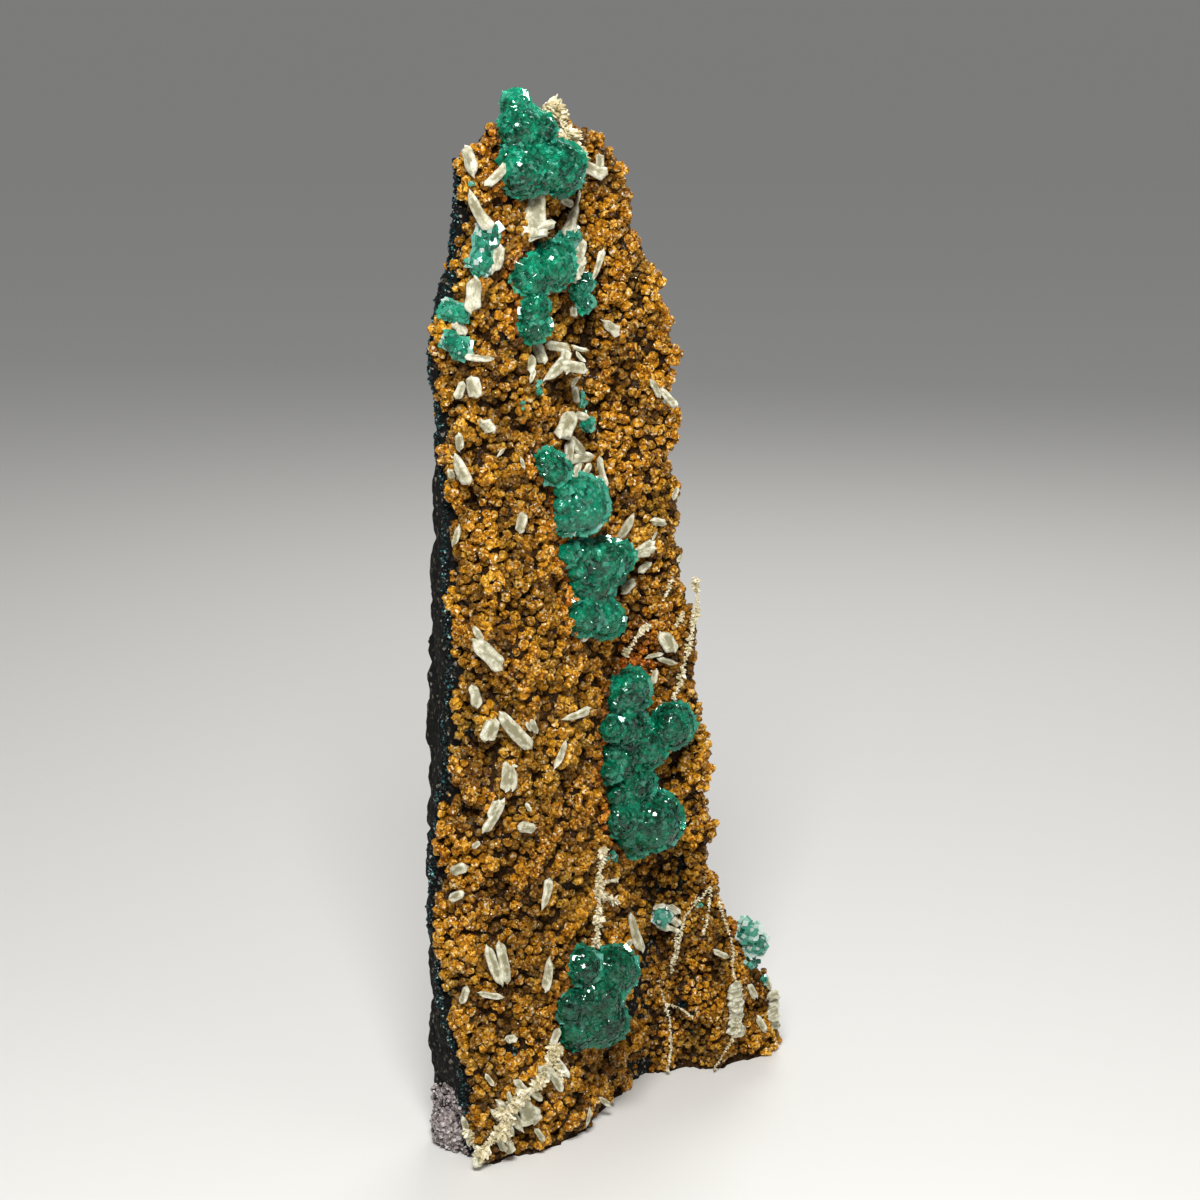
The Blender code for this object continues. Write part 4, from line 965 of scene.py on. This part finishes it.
# Small quartz crystals that spread from it over the rock and up to the crust
footTree = treeOf(foot)
points, outward = surfacePoints(rock.data, 60000, rng, lambda middles, flats: (
    (middles[:, 2] > 1 * mm) & (middles[:, 2] < 40 * mm) & (middles[:, 0] < -0.05)).astype(float) + 1e-9)
away = distances(footTree, points)
near = away < quartzSettings["reach"] * rng.random(len(points)) ** 0.5
points, outward = points[near], outward[near]
kept = spaced(points, np.full(len(points), quartzSettings["spacing"]))
sizes = rng.uniform(0.5, 1.1, len(kept)) * mm
footPoints, footOutward = surfacePoints(foot.data, 6000, rng, lambda middles, flats: (middles[:, 2] > 1.5 * mm).astype(float))
footKept = spaced(footPoints, np.full(len(footPoints), 1.3 * quartzSettings["spacing"]))
points, outward = np.concatenate([points[kept], footPoints[footKept]]), np.concatenate([outward[kept], footOutward[footKept]])
sizes = np.concatenate([sizes, rng.uniform(0.6, 1.4, len(footKept)) * mm])
bits = scatter("quartzBits", [modelBlock(0.6, 0.9, 0.4, 0.3), modelBlock(0.9, 0.8, 0.3, 0.1)], rng, points,
               turnsAlong(rng, outward + rng.normal(0, 0.5, outward.shape)), sizes)
finishPiece(bits, quartz)
print("quartz", len(foot.data.polygons), len(bits.data.polygons))


# Crust: balls of chalcedony under a quartz druse ---------------------------------------

crustSettings = {
    "ball": (1.45 * mm, 2.6 * mm), "spacing": 1.42, "candidates": 150000,
    "lump": (12 * mm, 4.8 * mm), "bunch": (31 * mm, 3.6 * mm), "ballSunk": 0.9 * mm, "bedSunk": 1.2 * mm,
    "roughness": 0.15, "variants": 16, "wingFiner": 0.25,
}


crystalTree = treeOf(*crystals)


def crustRelief(places):  # how far the balls' bed is raised or sunk, and 0 to 1 from crease to top
    lumps = np.array([lump(place, crustSettings["lump"][0], 4.0) for place in places])
    bunches = np.array([lump(place, crustSettings["bunch"][0], 11.0) for place in places])
    relief = (lumps - 0.85) * crustSettings["lump"][1] + (bunches - 0.85) * crustSettings["bunch"][1]
    shallow = -1.0 * mm - 0.7 * np.clip(distances(crystalTree, places) - 1.5 * mm, 0, None)  # no crease undercuts a crystal
    return np.maximum(relief, shallow), np.clip(0.5 * lumps + 0.5 * bunches, 0, 1)


def onCrust(middles, outward):  # faces that belong to the crust, clear of the rock and the foot
    keep = distances(cadCrustTree, middles) < distances(cadRockTree, middles)
    return (keep & ~((middles[:, 2] < 1.5 * mm) & (outward[:, 2] < -0.7))).astype(float)


rng = np.random.default_rng(5)
points, outward = surfacePoints(bed.data, crustSettings["candidates"], rng, onCrust)
relief, tops = crustRelief(points)
small, large = crustSettings["ball"]
radii = small + (large - small) * np.clip(0.2 + 0.55 * tops + rng.normal(0, 0.2, len(points)), 0, 1)
onWing = pixelsOf(points)
onWing = np.clip((onWing[:, 0] - 640) / 30, 0, 1) * np.clip((onWing[:, 1] - 870) / 30, 0, 1)
radii *= 1 - crustSettings["wingFiner"] * onWing
radii *= 1 - 0.35 * np.clip(1 - points[:, 2] / (5 * mm), 0, 1)  # finer along the sawn foot, to close over its edge
kept = spaced(points, radii * crustSettings["spacing"])
points, outward, relief, tops, radii = points[kept], outward[kept], relief[kept], tops[kept], radii[kept]
outward += rng.normal(0, 0.12, outward.shape)
outward /= np.linalg.norm(outward, axis=1, keepdims=True)
centres = points + outward * (relief - crustSettings["ballSunk"] + rng.normal(0, 0.4 * mm, len(points)))[:, None]
centres[:, 2] = np.maximum(centres[:, 2], radii * 1.03)

# Small pits in the crust, lined with celadonite: pixel and radius in mm
pits = [(512, 1050, 2.0), (681, 1005, 1.8), (693, 1032, 1.8), (692, 1015, 1.2), (450, 275, 2.6), (708, 722, 2.0),
        (716, 759, 1.6), (606, 1116, 2.0), (559, 1147, 2.0), (457, 738, 2.0), (488, 462, 1.2), (508, 343, 2.4), (533, 745, 1.4)]
pitDepths = [depthOnBed(px, py) for px, py, _ in pits]
pits = [(*pit, depth) for pit, depth in zip(pits, pitDepths) if depth is not None]
pitCentres = np.array([cameraPlace + rayThrough(px, py) * depth for px, py, _, depth in pits])
pitRadii = np.array([pit[2] for pit in pits]) * mm

roundTree = treeOf(*bodies)
thinTree = treeOf(*[crystal for crystal in crystals if crystal not in bodies])
fromPits = np.linalg.norm(centres[:, None] - pitCentres[None], axis=2) - pitRadii[None] - 0.6 * radii[:, None]
clear = (fromPits > 0).all(1)
for i, (centre, radius) in enumerate(zip(centres, radii)):  # balls in front of a crystal are pushed back behind it
    ray = centre - cameraPlace
    ray /= np.linalg.norm(ray)
    for tree, reach in ((roundTree, 1.1), (thinTree, 1.0)):
        place, normal, _, distance = tree.find_nearest(Vector(centre))
        inside = tree is roundTree and (Vector(centre) - place).dot(normal) < 0
        if inside and 0.7 * radius < distance < 12 * mm:
            clear[i] = False
        elif inside or distance < reach * radius:
            centres[i] += ray * max(0.0, 0.6 * radius - (centre - np.array(place)) @ ray)
centres[:, 2] = np.maximum(centres[:, 2], radii * 1.03)
centres, radii, tops = centres[clear], radii[clear], tops[clear]

ballUnit, ballFaces = unitShape(bpy.ops.mesh.primitive_uv_sphere_add, segments=8, ring_count=5, radius=1)
ballShapes = [(ballUnit * (1 + rng.normal(0, crustSettings["roughness"], len(ballUnit)))[:, None], ballFaces)
              for _ in range(crustSettings["variants"])]
pixels = pixelsOf(centres)
# painted light: the left flank, where the key light falls, is painted paler
paintedLitFlank = np.exp(-((pixels[:, 0] - 490) / 60) ** 2 - ((pixels[:, 1] - 610) / 170) ** 2)
# random tone plus painted light: balls on the lumps' tops and on the left flank are lighter
tonesAndPaintedLight = np.clip(0.25 + 0.5 * tops + 0.45 * paintedLitFlank + 0.2 * rng.normal(size=len(centres)), 0, 1)
bodiesTree = treeOf(*[body for body in bodies if body.dimensions.z > 14 * mm])
rusts = 0.6 * np.exp(-(distances(bodiesTree, centres) / (4 * mm)) ** 2)
rusts = np.clip(rusts + 0.6 * np.exp(-((pixels[:, 0] - 640) / 22) ** 2 - ((pixels[:, 1] - 655) / 32) ** 2), 0, 1)
# painted shade: the lower a ball sits in a crease, the darker it is painted
creviceShades = np.clip(1.05 - 1.45 * tops + rng.normal(0, 0.08, len(tops)), 0, 0.9)
bandEnds = np.quantile(centres[:, 2], (0.2, 0.4, 0.6, 0.8))
bands = np.searchsorted(bandEnds, centres[:, 2])
for band, bandName in enumerate(("druseFoot", "druseLower", "druseMiddle", "druseUpper", "druseTop")):
    chosen = bands == band
    piece = scatter(bandName, ballShapes, rng, centres[chosen], randomTurns(rng, chosen.sum()), radii[chosen],
                    {"tone": tonesAndPaintedLight[chosen], "crevice": creviceShades[chosen], "rust": rusts[chosen]})
    finishPiece(piece, druse)
    print(bandName, len(piece.data.polygons))

# The largest grains of the druse, as quartz points of their own
grainSettings = {"count": 9000, "size": (0.24 * mm, 0.48 * mm), "glinting": 0.16}

pointUnit, pointFaces = unitShape(bpy.ops.mesh.primitive_cone_add, vertices=6, radius1=1, radius2=0, depth=1.6)
carriers = rng.choice(len(centres), size=grainSettings["count"], p=radii ** 2 / (radii ** 2).sum())
ways = rng.normal(size=(len(carriers), 3))
ways /= np.linalg.norm(ways, axis=1, keepdims=True)
ways += (cameraPlace - centres[carriers]) / np.linalg.norm(cameraPlace - centres[carriers], axis=1, keepdims=True) * 0.5
ways /= np.linalg.norm(ways, axis=1, keepdims=True)
sizes = grainSettings["size"][0] + (grainSettings["size"][1] - grainSettings["size"][0]) * rng.random(len(carriers)) ** 2
# a share of the grains, given by glinting, is marked for painted glints
grains = scatter("druseGrains", [(pointUnit, pointFaces)], rng, centres[carriers] + ways * (radii[carriers] * 1.02)[:, None],
                 turnsAlong(rng, ways + rng.normal(0, 0.35, ways.shape)), sizes,
                 {"tone": np.clip(tonesAndPaintedLight[carriers] + 0.1, 0, 1), "crevice": 0.7 * creviceShades[carriers], "rust": rusts[carriers],
                  "glint": (rng.random(len(carriers)) < grainSettings["glinting"]).astype(float)})
finishPiece(grains, druse)
print("druse grains", len(grains.data.polygons))

bedPlaces, bedNormals = placesOf(bed.data), normalsOf(bed.data)
relief, tops = crustRelief(bedPlaces)
nearRock = distances(cadRockTree, bedPlaces) < distances(cadCrustTree, bedPlaces)
sunk = np.where(nearRock, -4.5 * mm, relief - crustSettings["ballSunk"] - crustSettings["bedSunk"])
bedFoot = bedPlaces[:, 2] < 1.2 * mm
bedNormals[bedFoot, 2] = 0
bedPlaces += bedNormals * sunk[:, None]
inPit = np.linalg.norm(bedPlaces[:, None] - pitCentres[None], axis=2) < pitRadii[None] + 2.5 * mm
bedPlaces -= bedNormals * (inPit.any(1) * 1.2 * mm)[:, None]
bedPlaces[:, 2] = np.maximum(bedPlaces[:, 2], 0.05 * mm)
# the bed between the balls gets full painted crevice shade, so its gaps show dark
for key, value in (("crevice", 1.0), ("tone", 0.3), ("rust", 0.0)):
    bed.data.attributes.new(key, "FLOAT", "POINT").data.foreach_set("value", np.full(len(bedPlaces), value, np.float32))


# Celadonite seam between the rock and the crust ----------------------------------------

seamSettings = {"size": (0.45 * mm, 1.05 * mm), "spacing": 1.3 * mm, "candidates": 60000, "width": (-0.3 * mm, 2.4 * mm)}


def onSeam(middles, outward):
    gap = distances(cadCrustTree, middles) - distances(cadRockTree, middles)
    low, high = seamSettings["width"]
    return ((gap > low) & (gap < high) & (middles[:, 2] > 1.0 * mm)).astype(float)


points, outward = surfacePoints(bed.data, seamSettings["candidates"], rng, onSeam)
kept = spaced(points, np.full(len(points), seamSettings["spacing"]))
points, outward = points[kept], outward[kept]
low, high = seamSettings["size"]
sizes = rng.uniform(low, high, len(points))
octaUnit, octaFaces = unitShape(bpy.ops.mesh.primitive_ico_sphere_add, subdivisions=1, radius=1)
points[:, 2] = np.maximum(points[:, 2], high)
movePlaces(bed.data, bedPlaces)
bedTree = treeOf(bed)
groundTree = treeOf(bed, rock)
for i, point in enumerate(points):  # each seam crystal sits on the rock or on the bed
    place, normal, _, _ = groundTree.find_nearest(Vector(point))
    points[i], outward[i] = place, normal
inPits, pitOutward = [], []
for px, py, radius, _ in pits:
    for _ in range(int(14 * radius ** 2)):
        turn, reach = rng.uniform(0, 2 * pi), radius / 0.42 * 1.1 * rng.random() ** 0.5
        place, normal, _, _ = bedTree.ray_cast(Vector(cameraPlace), Vector(rayThrough(px + reach * cos(turn), py + reach * sin(turn))))
        if place is not None:
            inPits.append(place)
            pitOutward.append(normal)
points = np.concatenate([points, np.array(inPits)])
outward = np.concatenate([outward, np.array(pitOutward)])
sizes = np.concatenate([sizes, rng.uniform(0.4 * mm, 0.9 * mm, len(inPits))])
seam = scatter("celadoniteCrystals", [blockShapes[0], (octaUnit, octaFaces)], rng, points - outward * 0.2 * mm,
               randomTurns(rng, len(points)), sizes)
finishPiece(seam, celadonite)
finishPiece(bed, druse, ["chalcedony_crust"], smooth=180)
print("crust done", len(centres), "balls", len(points), "seam crystals")


# Floor, light and world ----------------------------------------------------------

studio = {"floorSize": 60.0, "floorColour": "DAD8D3", "world": "F2F4F7", "worldStrength": 0.3}

bpy.ops.object.select_all(action="DESELECT")
bpy.ops.mesh.primitive_plane_add(size=studio["floorSize"], location=(0, 0, 0))
floor = bpy.context.active_object
floor.name = "studioFloor"
floorMaterial = newMaterial("paleFloor")
floorShader = addNode(floorMaterial, "ShaderNodeBsdfPrincipled", inputs={"Base Color": linear(studio["floorColour"]), "Roughness": 0.6})
addNode(floorMaterial, "ShaderNodeOutputMaterial", links={"Surface": floorShader.outputs[0]})
floor.data.materials.append(floorMaterial)

bpy.context.scene.view_settings.view_transform = "Standard"
world = bpy.data.worlds.new("studioWorld")
world.use_nodes = True
world.node_tree.nodes["Background"].inputs["Color"].default_value = linear(studio["world"])
world.node_tree.nodes["Background"].inputs["Strength"].default_value = studio["worldStrength"]
bpy.context.scene.world = world

softboxes = {  # place, size, power
    "key": ((-0.66, -0.74, 1.12), 0.42, 25),
    "fill": ((0.3, -1.5, 0.5), 0.8, 3),
    "rim": ((0.9, 0.7, 1.2), 0.7, 8),
}
for boxName, (place, size, power) in softboxes.items():
    light = bpy.data.lights.new(boxName + "Softbox", "AREA")
    light.size = size
    light.energy = power
    lamp = bpy.data.objects.new(boxName + "Softbox", light)
    lamp.location = place
    lamp.rotation_euler = (Vector((0, 0, 0.24)) - Vector(place)).to_track_quat("-Z", "Y").to_euler()
    bpy.context.scene.collection.objects.link(lamp)

print("stage done")
